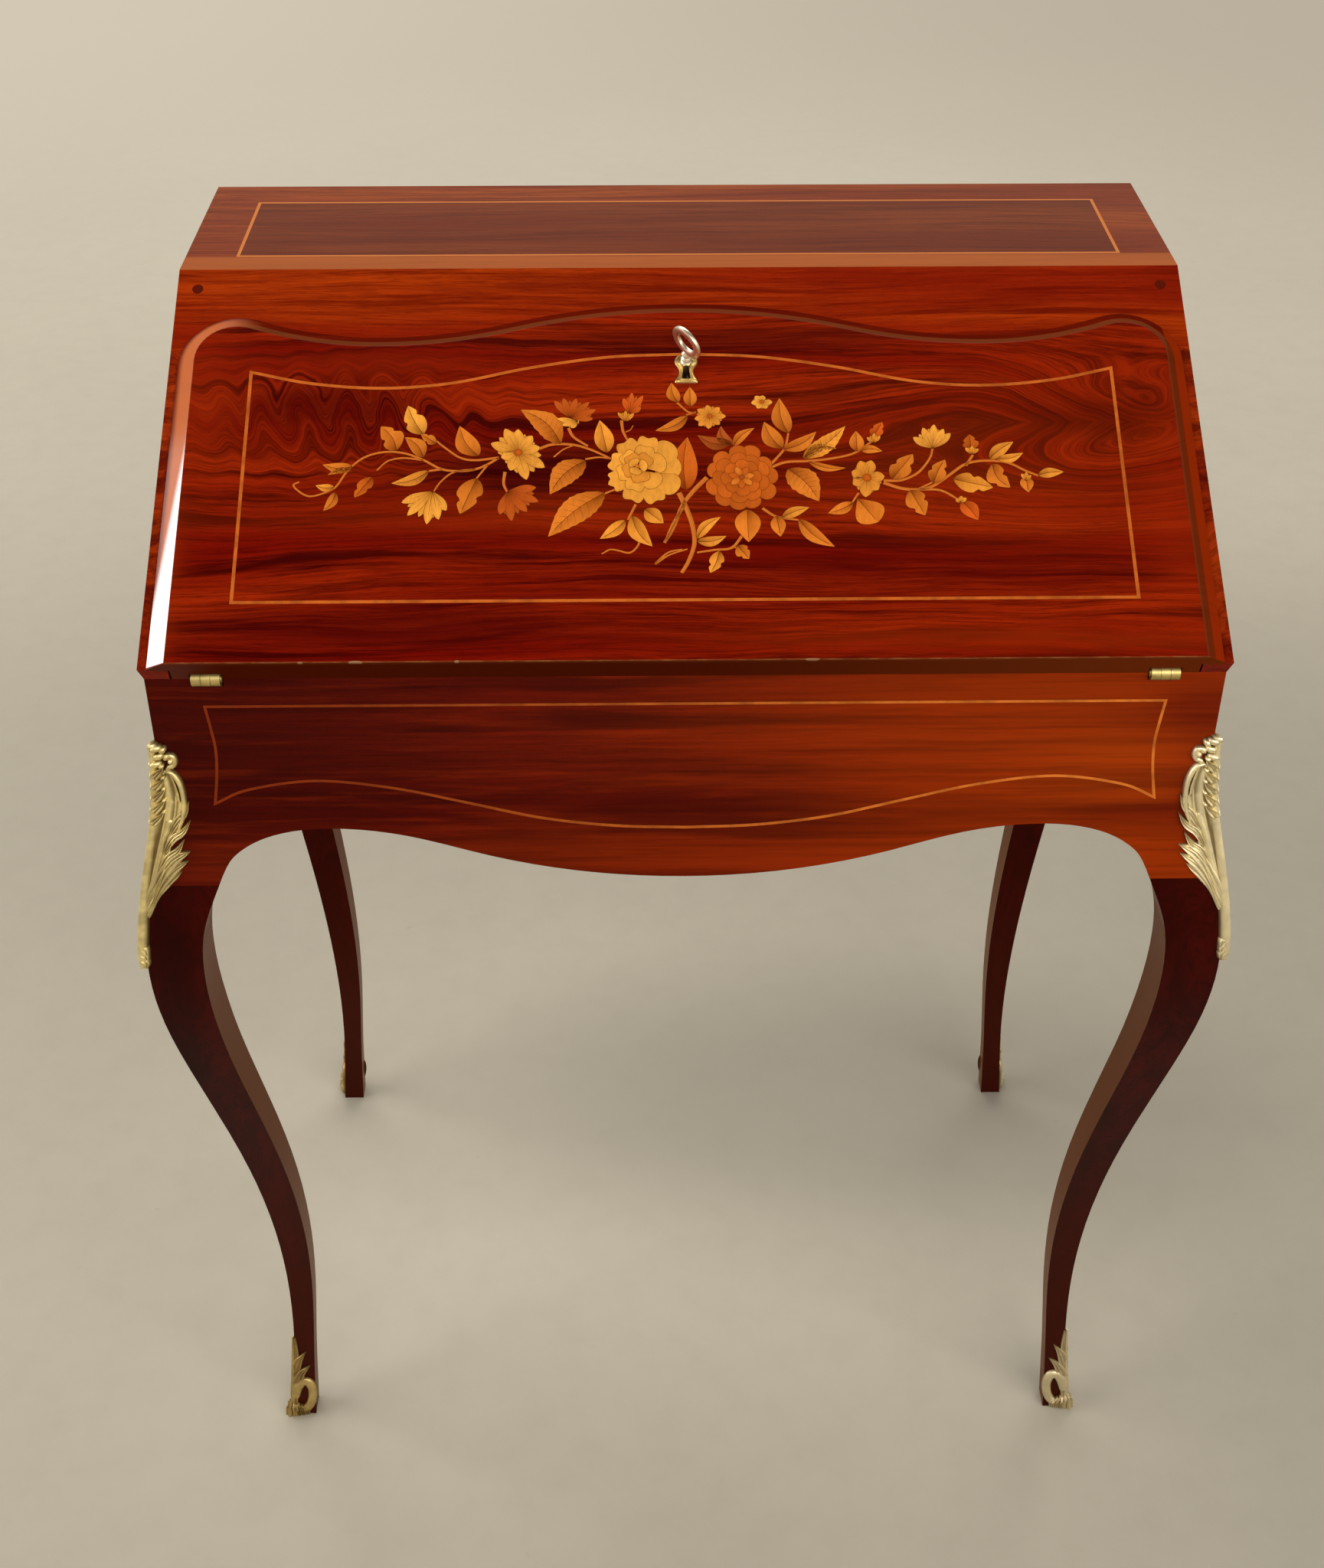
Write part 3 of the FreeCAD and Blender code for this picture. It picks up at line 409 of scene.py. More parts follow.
class Finish:
    """A new material: its tree, its shader and the place on the object."""

    def __init__(self, name, preview):
        self.material = bpy.data.materials.new(name)
        self.material.use_nodes = True
        self.material.diffuse_color = (*linear(preview), 1.0)
        self.tree = self.material.node_tree
        self.shader = self.tree.nodes["Principled BSDF"]
        self.place = Field(self.node("ShaderNodeTexCoord").outputs["Object"])

    def node(self, kind):
        return self.tree.nodes.new(kind)

    def group(self, group, **values):
        node = self.node("ShaderNodeGroup")
        node.node_tree = group
        for label, value in values.items():
            put(node.inputs[label], value)
        return {socket.name: Field(socket) for socket in node.outputs}

    def painted(self, layer):
        """A colour that was stored for each vertex."""
        node = self.node("ShaderNodeVertexColor")
        node.layer_name = layer
        return Field(node.outputs["Color"])

    def set(self, shader=None, **values):
        """Links or sets the shader's inputs; an underscore stands for a space."""
        for label, value in values.items():
            put((shader or self.shader).inputs[label.replace("_", " ")], value)

    def bump(self, height, strength, distance):
        node = self.node("ShaderNodeBump")
        put(node.inputs["Height"], height)
        put(node.inputs["Strength"], strength)
        put(node.inputs["Distance"], distance)
        self.set(Normal=Field(node.outputs["Normal"]))

    def cover(self, share, other):
        """Puts another shader over the first one by a mask."""
        mixer = self.node("ShaderNodeMixShader")
        put(mixer.inputs[0], share)
        put(mixer.inputs[1], Field(self.shader.outputs[0]))
        put(mixer.inputs[2], Field(other.outputs[0]))
        put(self.tree.nodes["Material Output"].inputs["Surface"], Field(mixer.outputs[0]))

    def polish(self, place, gloss, pores=None, depth=0.00004, tint=(1.0, 0.42, 0.26)):
        """Hand polish over wood: roughness, ripple and a shallow grain."""
        surface = self.group(polish_group(), Vector=place, Gloss=gloss)
        height = surface["Height"] if pores is None else surface["Height"] - pores * 0.5
        self.bump(height, 0.3, depth)
        self.set(Roughness=surface["Roughness"], IOR=1.24, Specular_Tint=(*tint, 1.0))

    def wear(self, colour, dull):
        """Bare wood without its polish, wherever the mask is high."""
        dull_finish = self.node("ShaderNodeBsdfPrincipled")
        self.set(dull_finish, Base_Color=colour, Roughness=0.6, Specular_IOR_Level=0.0)
        self.cover(dull, dull_finish)


# Woods and metals

BACKDROP = (201, 190, 170)
BLACK = (0.0, 0.0, 0.0)
LID_WOOD = ((150, 37, 5), (111, 10, 2), (38, 0, 1))
APRON_WOOD = ((122, 24, 4), (98, 11, 3), (48, 0, 1))
LEG_WOOD = ((58, 3, 2), (42, 0, 1), (24, 0, 0))
LEG_BLOCK_FOOT = 619.0
TOP_FACE = 949.5
QUARTER = math.pi / 2
# The clear coat that makes the lid's left bevel catch the light: its IOR and roughness.
BRIGHT_COAT = (3.4, 0.07)

# Turns that lay the grain along an axis of the desk, or flat on an upright face.
GRAIN_TURNS = {
    "X": (0.0, 0.0, 0.0),
    "Y": (0.0, 0.0, -QUARTER),
    "Z": (0.0, QUARTER, 0.0),
    "XZ": (-QUARTER, 0.0, 0.0),
    "YZ": (-QUARTER, -QUARTER, 0.0),
}

# Passages of other tones in a veneer: centre, reach in millimetres, strength and tone.
LID_PASSAGES = (
    ((-84.0, 146.0), (90.0, 20.0), 0.9, (34, 0, 2)),
    ((-190.0, 27.0), (150.0, 15.0), 0.75, (60, 1, 2)),
    ((40.0, 62.0), (210.0, 22.0), 0.35, (84, 2, 2)),
    ((304.0, 186.0), (60.0, 15.0), 0.85, (40, 0, 1)),
    ((-240.0, 196.0), (64.0, 26.0), 0.55, (50, 0, 1)),
    ((-352.0, 60.0), (14.0, 90.0), 0.5, (140, 42, 5)),
    ((210.0, 14.0), (180.0, 9.0), 0.5, (146, 42, 5)),
    ((-150.0, 112.0), (150.0, 14.0), 0.3, (146, 44, 5)),
    ((210.0, 150.0), (120.0, 60.0), 0.2, (160, 54, 10)),
    ((-338.0, 200.0), (30.0, 60.0), 0.35, (140, 36, 5)),
    ((30.0, 256.0), (150.0, 10.0), 0.7, (62, 4, 2)),
    ((-210.0, 236.0), (80.0, 10.0), 0.5, (120, 26, 4)),
    ((170.0, 60.0), (150.0, 26.0), 0.35, (76, 2, 2)),
    ((338.0, 120.0), (26.0, 90.0), 0.35, (140, 36, 5)),
)
APRON_PASSAGES = (
    ((20.0, 668.0), (110.0, 26.0), 0.75, (60, 0, 2)),
    ((-336.0, 634.0), (30.0, 13.0), 0.55, (120, 30, 6)),
    ((346.0, 752.0), (34.0, 20.0), 0.7, (84, 8, 3)),
    ((328.0, 668.0), (60.0, 7.0), 0.75, (96, 12, 3)),
    ((-120.0, 748.0), (30.0, 24.0), 0.3, (120, 22, 4)),
    ((352.0, 690.0), (26.0, 30.0), 0.5, (100, 14, 3)),
    ((0.0, 640.0), (220.0, 14.0), 0.45, (146, 44, 5)),
    ((300.0, 700.0), (60.0, 26.0), 0.3, (170, 66, 10)),
)
# Streaks along the apron's grain: spread of the noise, its range, strength and tone.
APRON_STREAKS = (
    ((2.0, 66.0, 2.0), 0.44, 0.66, 0.42, (30, 0, 1)),
    ((9.0, 300.0, 9.0), 0.46, 0.7, 0.24, (36, 0, 1)),
    ((7.0, 100.0, 7.0), 0.5, 0.74, 0.13, (196, 60, 6)),
)
# Chips on the lid's lower edge: centre and reach in millimetres.
LID_CHIPS = (
    ((-216.0, 0.0), (4.5, 0.9)),
    ((-150.0, 0.2), (1.6, 0.6)),
    ((82.0, 0.2), (5.0, 0.5)),
    ((-252.0, 0.0), (1.6, 0.5)),
)


def along_grain(place, along):
    """The place with the grain along X; on the lid, Y then runs up its slope."""
    if along != "LID":
        return mapped(place, turn=GRAIN_TURNS[along])
    foot = Vector((0.0, SLOPE_Y, SLOPE_Z)) * MM
    turn = Euler((-SLOPE_ANGLE, 0.0, 0.0))
    foot.rotate(turn)
    return mapped(place, turn=tuple(turn), shift=tuple(-foot))


def wood_tone(figure, light, middle, dark, streaks=0.8, lines=0.45):
    """Mixes three wood colours by the figure's streaks, lines and fibres."""
    colour = blend(figure["Broad"], linear(middle), linear(light))
    colour = blend(figure["Fibre"] * 0.5, colour, scaled(linear(middle), 0.5))
    for mark, strength in (("Streak", streaks), ("Lines", lines), ("Pores", 0.4)):
        colour = toned(colour, figure[mark] * strength, dark)
    return colour


def veneer(name, tones, along="X", lines=85.0, warp=1.4, seed=0.0, streaks=0.8, fine_lines=0.4,
           gloss=0.13, flow=None, finish=None):
    """Polished figured veneer; a finish may add tones, painted shade and reflection, dull places and a
    bright bevel.
    """
    wood = Finish(name, tones[1])
    place = along_grain(wood.place, along)
    grain = flow(place) if flow else place
    figure = wood.group(wood_figure_group(), Vector=grain, Lines=lines, Warp=warp, Seed=seed)
    colour = wood_tone(figure, *tones, streaks, fine_lines)
    dull = bright = None
    if finish is not None:
        colour, dull, bright = finish(place, colour)
    wood.set(Base_Color=colour)
    wood.polish(place, gloss, figure["Pores"])
    if bright is not None:
        wood.set(Coat_Weight=bright, Coat_IOR=BRIGHT_COAT[0], Coat_Roughness=BRIGHT_COAT[1])
    if dull is not None:
        wood.wear(colour, dull)
    return wood.material


def millimetres(place):
    """A place's three coordinates, in millimetres."""
    return [value * (1.0 / MM) for value in split(place)]


def soft_patch(x, y, centre, reach):
    """A soft oval, 1 in its middle and 0 outside."""
    across = (x - centre[0]) * (1.0 / reach[0])
    up = (y - centre[1]) * (1.0 / reach[1])
    far = across * across + up * up
    return calc("DIVIDE", 1.0, far * far + 1.0)


def add_passages(x, y, wander, passages, colour):
    """Tones the veneer in soft ovals that a noise breaks up."""
    for centre, reach, strength, tone in passages:
        share = soft_patch(x, y, centre, reach) * strength
        colour = toned(colour, share * (wander * 1.6 + 0.1), tone)
    return colour


def lid_flow(place):
    """Bends the lid's grain: tight waves upper left, nested arrows upper right."""
    wave_length, wave_height, wave_lean = 29.0, 19.0, 0.04
    arrow_middle, arrow_lean, arrow_spread, arrow_drop, arrow_wander = 184.0, 1.5, 0.85, 40.0, 30.0
    x, s, n = millimetres(place)
    wander = grain_noise(place, (22.0, 22.0, 22.0))
    turn = x * (math.tau / wave_length) + wander * 6.0 + s * wave_lean
    waves = calc("SINE", turn) * wave_height
    arrow = abs(s - arrow_middle) * arrow_lean + x * arrow_spread - s + wander * arrow_wander
    left = soft_patch(x, s, (-240.0, 194.0), (70.0, 27.0))
    right = soft_patch(x, s, (262.0, 186.0), (86.0, 40.0))
    bent = s + left * waves + right * (arrow - arrow_drop)
    return join(x * MM, bent * MM, n * MM)


def lid_tones(place, colour):
    """The lid's darker and lighter passages, its bevels with painted shade, sheen and reflection, lower
    band, a lower arris lightened by rubbing and by a painted highlight, and chips.
    """
    bevel_top, bevel_foot, bevel_middle = LID_FACE - 0.4, 1.4, (5.0, 5.8)
    left_bevel, right_bevel, left_reflection_fade = -334.0, 342.0, -336.0
    lip, band_edge, glow_lean = 0.6, 0.4, 0.058
    x, s, n = millimetres(place)
    wander = grain_noise(place, (5.0, 40.0, 5.0), 3.0, 0.6)
    colour = add_passages(x, s, wander, LID_PASSAGES, colour)

    slanted = fall(n, bevel_top, bevel_top + 0.3)
    # Painted shade and sheen: the top and right bevels take flat painted tones, dark at the top bevel's foot
    # and tan above it, and are dulled.
    dull_finish = slanted * ramp(x, -340.0, -300.0)
    inner = ramp(n, *bevel_middle)
    above = blend(inner, linear((86, 16, 4)), linear((104, 50, 24)))
    beside = blend(inner, linear((134, 38, 5)), linear((96, 36, 10)))
    right = ramp(x, right_bevel - 1.0, right_bevel + 1.0)
    colour = blend(dull_finish * 0.85, colour, blend(right, above, beside))
    # Painted reflection: the left bevel takes a peach tone, dark at its foot, fading out to the right and
    # towards the lower band, and is dulled.
    left = slanted * fall(x, left_reflection_fade, left_reflection_fade + 44.0) * ramp(s, 12.0, 50.0)
    left = left * fall(n + 0.8 - s * glow_lean, -1.4, 1.2)
    edge = blend(ramp(n, 1.2, 4.4), linear((84, 24, 9)), linear((196, 110, 64)))
    colour = blend(left * 0.75, colour, edge)

    band = fall(s, -band_edge, band_edge)
    colour = toned(colour, band * 0.92, (66, 18, 3))
    colour = toned(colour, ramp(x, -50.0, 340.0) * band * 0.5, (118, 52, 18))
    # Rubbed wear and a painted highlight: the lid's lower front arris is lightened, unevenly.
    rub_and_highlight = ramp(grain_noise(place, (60.0, 60.0, 220.0), 3.0, 0.6), 0.42, 0.62)
    arris = ramp(n, bevel_top - 1.0, bevel_top) * s.below(lip)
    colour = toned(colour, arris * (rub_and_highlight * 0.5 + 0.25), (138, 82, 44))
    for centre, reach in LID_CHIPS:
        chip = ramp(soft_patch(x, s, centre, reach), 0.45, 0.6) * ramp(n, 6.6, 8.2)
        colour = toned(colour, chip * 0.7, (160, 126, 92))

    bright = n.below(bevel_top + 0.2) * n.above(bevel_foot) * x.below(left_bevel) * s.above(lip)
    return colour, dull_finish.or_more(left * 0.9), bright


def top_lines(place, colour):
    """The top board's inlaid line, its darker field and its lighter front."""
    half_width, middle, half_depth, soft = 322.0, 138.25, 55.25, 0.2
    x, y, z = millimetres(place)
    edge = (abs(x) - half_width).or_more(abs(y - middle) - half_depth)
    upper = ramp(z, TOP_FACE - 0.5, TOP_FACE)
    colour = toned(colour, fall(y, 79.0, 84.0) * 0.6, (176, 92, 34))
    colour = toned(colour, edge.below(0.0) * upper * 0.42, (66, 18, 6))
    half = settings().top_stringing_width / MM / 2
    line = fall(abs(edge), half, half + soft)
    return toned(colour, line * upper, (196, 112, 50)), None, None


def left_to_right(place, colour):
    """The front apron is toned from dark red on the left to orange on the right."""
    x, z, _ = millimetres(place)
    drift = grain_noise(place, (2.0, 12.0, 12.0)) * 240.0 + x
    colour = toned(colour, ramp(drift, -60.0, 450.0) * 0.72, (156, 52, 3))
    colour = toned(colour, fall(drift, -250.0, 300.0) * 0.82, (44, 0, 2))
    wander = grain_noise(place, (6.0, 50.0, 6.0), 3.0, 0.6)
    colour = add_passages(x, z, wander, APRON_PASSAGES, colour)
    for spread, low, high, strength, tone in APRON_STREAKS:
        streak = ramp(grain_noise(place, spread, 4.0, 0.6), low, high)
        colour = toned(colour, streak * strength, tone)
    return colour, None, None


def leg_wood(name, front):
    """Veneer on the leg's upper block, and dark solid wood below its line, whose inward flanks are painted
    lighter, as lit, and dulled.
    """
    wood = Finish(name, (60, 14, 4))
    flat, upright = along_grain(wood.place, "XZ"), along_grain(wood.place, "Z")
    upper = wood.group(wood_figure_group(), Vector=flat, Lines=60.0, Warp=1.0, Seed=0.3)
    lower = wood.group(wood_figure_group(), Vector=upright, Lines=55.0, Warp=1.2, Seed=1.7)
    block = wood_tone(upper, *APRON_WOOD, 0.7, 0.3)
    if front:
        block = left_to_right(flat, block)[0]
    x, _, z = millimetres(wood.place)
    solid = wood_tone(lower, *LEG_WOOD, 0.6, 0.3)
    solid = toned(solid, fall(z, 100.0, 420.0) * 0.6, (58, 14, 2))
    # Painted light: the legs' inward flanks are made lighter brown, as lit, and dulled.
    facing = split(Field(wood.node("ShaderNodeNewGeometry").outputs["Normal"]))[0]
    flank = fall(facing * calc("SIGN", x), -0.95, -0.75)
    solid = toned(solid, flank * 0.75, (106, 58, 22))
    line = ramp(z, LEG_BLOCK_FOOT - 0.5, LEG_BLOCK_FOOT + 0.5)
    colour = blend(line, solid, block)
    wood.set(Base_Color=colour)
    wood.polish(wood.place, 0.14, lower["Pores"])
    wood.wear(colour, flank * 0.55 * (1.0 - line))
    return wood.material


def inner_wood(name, light, dark, along):
    """Plain satin wood of the inside."""
    wood = Finish(name, light)
    place = along_grain(wood.place, along)
    figure = wood.group(wood_figure_group(), Vector=place, Lines=70.0, Warp=1.0, Seed=2.2)
    middle = tuple((a + b) / 2 for a, b in zip(light, dark))
    wood.set(Base_Color=wood_tone(figure, light, middle, dark, 0.5, 0.25))
    wood.polish(place, 0.36, figure["Pores"], 0.00008, (1.0, 0.9, 0.8))
    return wood.material


def line_wood(name, colour, left=None):
    """Pale stringing wood with a fine grain, darker towards its left end."""
    wood = Finish(name, colour)
    fine = ramp(grain_noise(wood.place, (60.0, 60.0, 60.0), 4.0, 0.6), 0.35, 0.7)
    tone = linear(colour)
    if left is not None:
        tone = blend(ramp(millimetres(wood.place)[0], -330.0, 300.0), linear(left), tone)
    wood.set(Base_Color=blend(fine * 0.5, tone, (0.12, 0.02, 0.004)))
    wood.polish(wood.place, 0.16)
    return wood.material


def inlay_wood(name, strength=1.0):
    """Marquetry wood: each piece's tint, its sand-shaded side and its grain."""
    wood = Finish(name, (205, 112, 34))
    fine = ramp(grain_noise(wood.place, (420.0, 160.0, 160.0), 3.0, 0.6), 0.35, 0.75)
    tone = blend(fine * 0.22, wood.painted("Tint"), (0.18, 0.05, 0.012))
    wood.set(Base_Color=blend(strength, tone, wood.painted("Shade"), "MULTIPLY"))
    wood.polish(wood.place, 0.18)
    return wood.material


def flat_tone(name, colour):
    """Plain dark wood and filler: plugs, and cut lines between pieces of inlay."""
    wood = Finish(name, colour)
    fine = grain_noise(wood.place, 900.0)
    wood.set(Base_Color=blend(fine, linear(colour), scaled(linear(colour), 0.5)))
    wood.polish(wood.place, 0.2)
    return wood.material


def leather(name):
    """Dark red-brown writing leather with a fine pebbled grain."""
    hide = Finish(name, (96, 32, 20))
    pebble = hide.node("ShaderNodeTexVoronoi")
    pebble.feature = "DISTANCE_TO_EDGE"
    hide.set(pebble, Scale=1100.0, Vector=hide.place)
    cells = ramp(Field(pebble.outputs["Distance"]), 0.0, 0.25)
    broad = ramp(grain_noise(hide.place, 12.0, 3.0, 0.6), 0.3, 0.7)
    tone = blend(broad, linear((98, 34, 20)), linear((122, 46, 26)))
    hide.set(Base_Color=toned(tone, 1.0 - cells, (60, 18, 12)), Roughness=broad * 0.12 + 0.42)
    hide.bump(cells, 0.5, 0.00015)
    return hide.material


def gilt(name, light, dark, gloss=0.26, painted=False, grain=700.0):
    """Old gilt or plain metal: bright on the high places, dark in the low; castings with a stored shade are
    also made paler towards the right of the desk: painted light.
    """
    metal = Finish(name, light)
    surface = metal.group(metal_group(), Vector=metal.place, Gloss=gloss, Grain=grain)
    tone = blend(surface["Tone"] * 0.4, linear(light), linear(dark))
    rough = surface["Roughness"]
    if painted:
        depth = ramp(split(metal.painted("Shade"))[0], 0.0, 0.92)
        tone = toned(tone, 1.0 - depth, dark)
        # Painted light: the high places of castings on the right of the desk are made paler.
        right = ramp(millimetres(metal.place)[0], -100.0, 100.0) * depth
        tone = blend(right * 0.5, tone, (1.0, 0.93, 0.72))
        rough = rough + 0.14 - depth * 0.12
    metal.set(Base_Color=tone, Roughness=rough, Metallic=1.0)
    metal.bump(surface["Height"], 0.25, 0.00006)
    return metal.material


def floor_paper(name, colour):
    """Pale studio paper, a little mottled, with painted shade near the desk, a painted shadow under it and
    painted lighter bands far off; far from the desk it glows, painted a little lighter on the left.
    """
    shadow_x, shadow_y, shadow_reach = 0.16, 0.18, (0.1, 0.62)
    lit_far_reach, glow_start, glow_full, glow_side = (1.0, 4.2), 1.9, 4.4, 1.7
    paper = Finish(name, colour)
    x, y, _ = split(paper.place)
    far = reach_of(x, y)
    broad = ramp(grain_noise(paper.place, 1.3, 3.0, 0.55), 0.3, 0.7)
    small = ramp(grain_noise(paper.place, 26.0, 4.0, 0.6), 0.35, 0.75)
    specks = ramp(grain_noise(paper.place, 42.0), 0.74, 0.80)
    # Painted shade: the near floor is darker at its sides and on the right, with a painted shadow under the
    # desk; the bands by distance are painted lighter and darker, and lighter far off.
    sides = fall(y, 0.0, 0.75) * ramp(abs(x), 0.18, 0.62)
    right = ramp(x, 0.0, 0.7) * fall(y, 0.9, 1.6)
    under = fall(reach_of(x - shadow_x, (y - shadow_y) * 2.0), *shadow_reach)
    base = linear(colour)
    tone = blend(ramp(y, -0.2, 0.72), scaled(base, 1.08), scaled(base, 0.86))
    for share, shade in (
            (ramp(y, 0.8, 1.7), scaled(base, 1.03)),
            (sides * 0.16, BLACK),
            (right * 0.09, BLACK),
            (under * 0.34, (0.01, 0.008, 0.004)),
            (ramp(far, *lit_far_reach), scaled(base, 1.25)),
            (broad * 0.09, (0.2, 0.18, 0.14)),
            (small * 0.07, (0.2, 0.17, 0.12)),
            (specks * 0.16, (0.3, 0.2, 0.1))):
        tone = blend(share, tone, shade)
    paper.set(Base_Color=tone, Roughness=0.75, Specular_IOR_Level=0.2)
    paper.bump(small, 0.15, 0.0006)
    # The far floor glows as an even backdrop, but painted a little lighter on the left than on the right.
    glow = paper.node("ShaderNodeEmission")
    side = ramp(x, -glow_side, glow_side)
    paper.set(glow, Color=blend(side, linear((211, 200, 180)), linear((187, 176, 157))))
    ray = paper.node("ShaderNodeLightPath").outputs
    seen = Field(ray["Is Camera Ray"])
    for kind in ("Is Glossy Ray", "Is Transmission Ray"):
        seen = seen.or_more(Field(ray[kind]))
    paper.cover(seen * ramp(far, glow_start, glow_full), glow)
    return paper.material


# Inlaid lines

def ribbon(name, line, width, place, body, slot, material, lift=0.09, depth=0.5):
    """A thin flat closed strip let into a surface, with mitred corners."""
    verts, faces = [], []
    for point, normal in zip(line, side_normals(line, True)):
        for side in (-1, 1):
            a = point[0] + normal.x * side * width / 2
            b = point[1] + normal.y * side * width / 2
            verts += [place(a, b, lift), place(a, b, -depth)]
    for k in range(len(line)):
        here, there = 4 * k, 4 * ((k + 1) % len(line))
        for a, b in ((0, 2), (2, 3), (3, 1), (1, 0)):
            faces.append((here + a, here + b, there + b, there + a))
    make_piece(name, verts, faces, body, slot, material)


def lid_string_line():
    """The stringing on the lid: straight below and at the sides, curved above."""
    side, foot = 300.0, 45.0
    crest = [(0.0, 242.5), (52.0, 240.2), (106.0, 231.5), (160.0, 219.0), (209.0, 215.0),
             (258.0, 219.3), (side, 229.0)]
    return mirrored(smooth_line(crest, 8) + [(side, foot)])


def apron_string_line():
    """The stringing on the front apron, with waisted sides and a scalloped foot."""
    corner = (322.0, 680.0)
    side = [(320.0, 757.0), (318.0, 738.0), (317.0, 722.0), (318.6, 702.0), corner]
    foot = [corner, (298.0, 690.5), (252.0, 697.0), (200.0, 691.0), (148.0, 679.0),
            (98.0, 667.5), (48.0, 661.5), (0.0, 660.0)]
    return mirrored(smooth_line(side, 5) + smooth_line(foot, 8)[1:])


# Marquetry

# How high the pieces lie over the lid's face, in millimetres.
STEM_LIFT, LEAF_LIFT, SHORT_PETAL_LIFT, PETAL_LIFT, VEIN_LIFT = 0.05, 0.08, 0.11, 0.14, 0.175
ROSE_LIFT, STAR_LIFT, EYE_LIFT, DAISY_EYE_LIFT = 0.10, 0.33, 0.36, 0.2
CUT_TONE = (0.05, 0.014, 0.005)
STEM_TONE = (194, 106, 38)
TINTS = (
    (232, 156, 58), (222, 140, 48), (210, 116, 36), (190, 90, 24), (164, 76, 26), (206, 88, 26),
    (184, 82, 24),
)

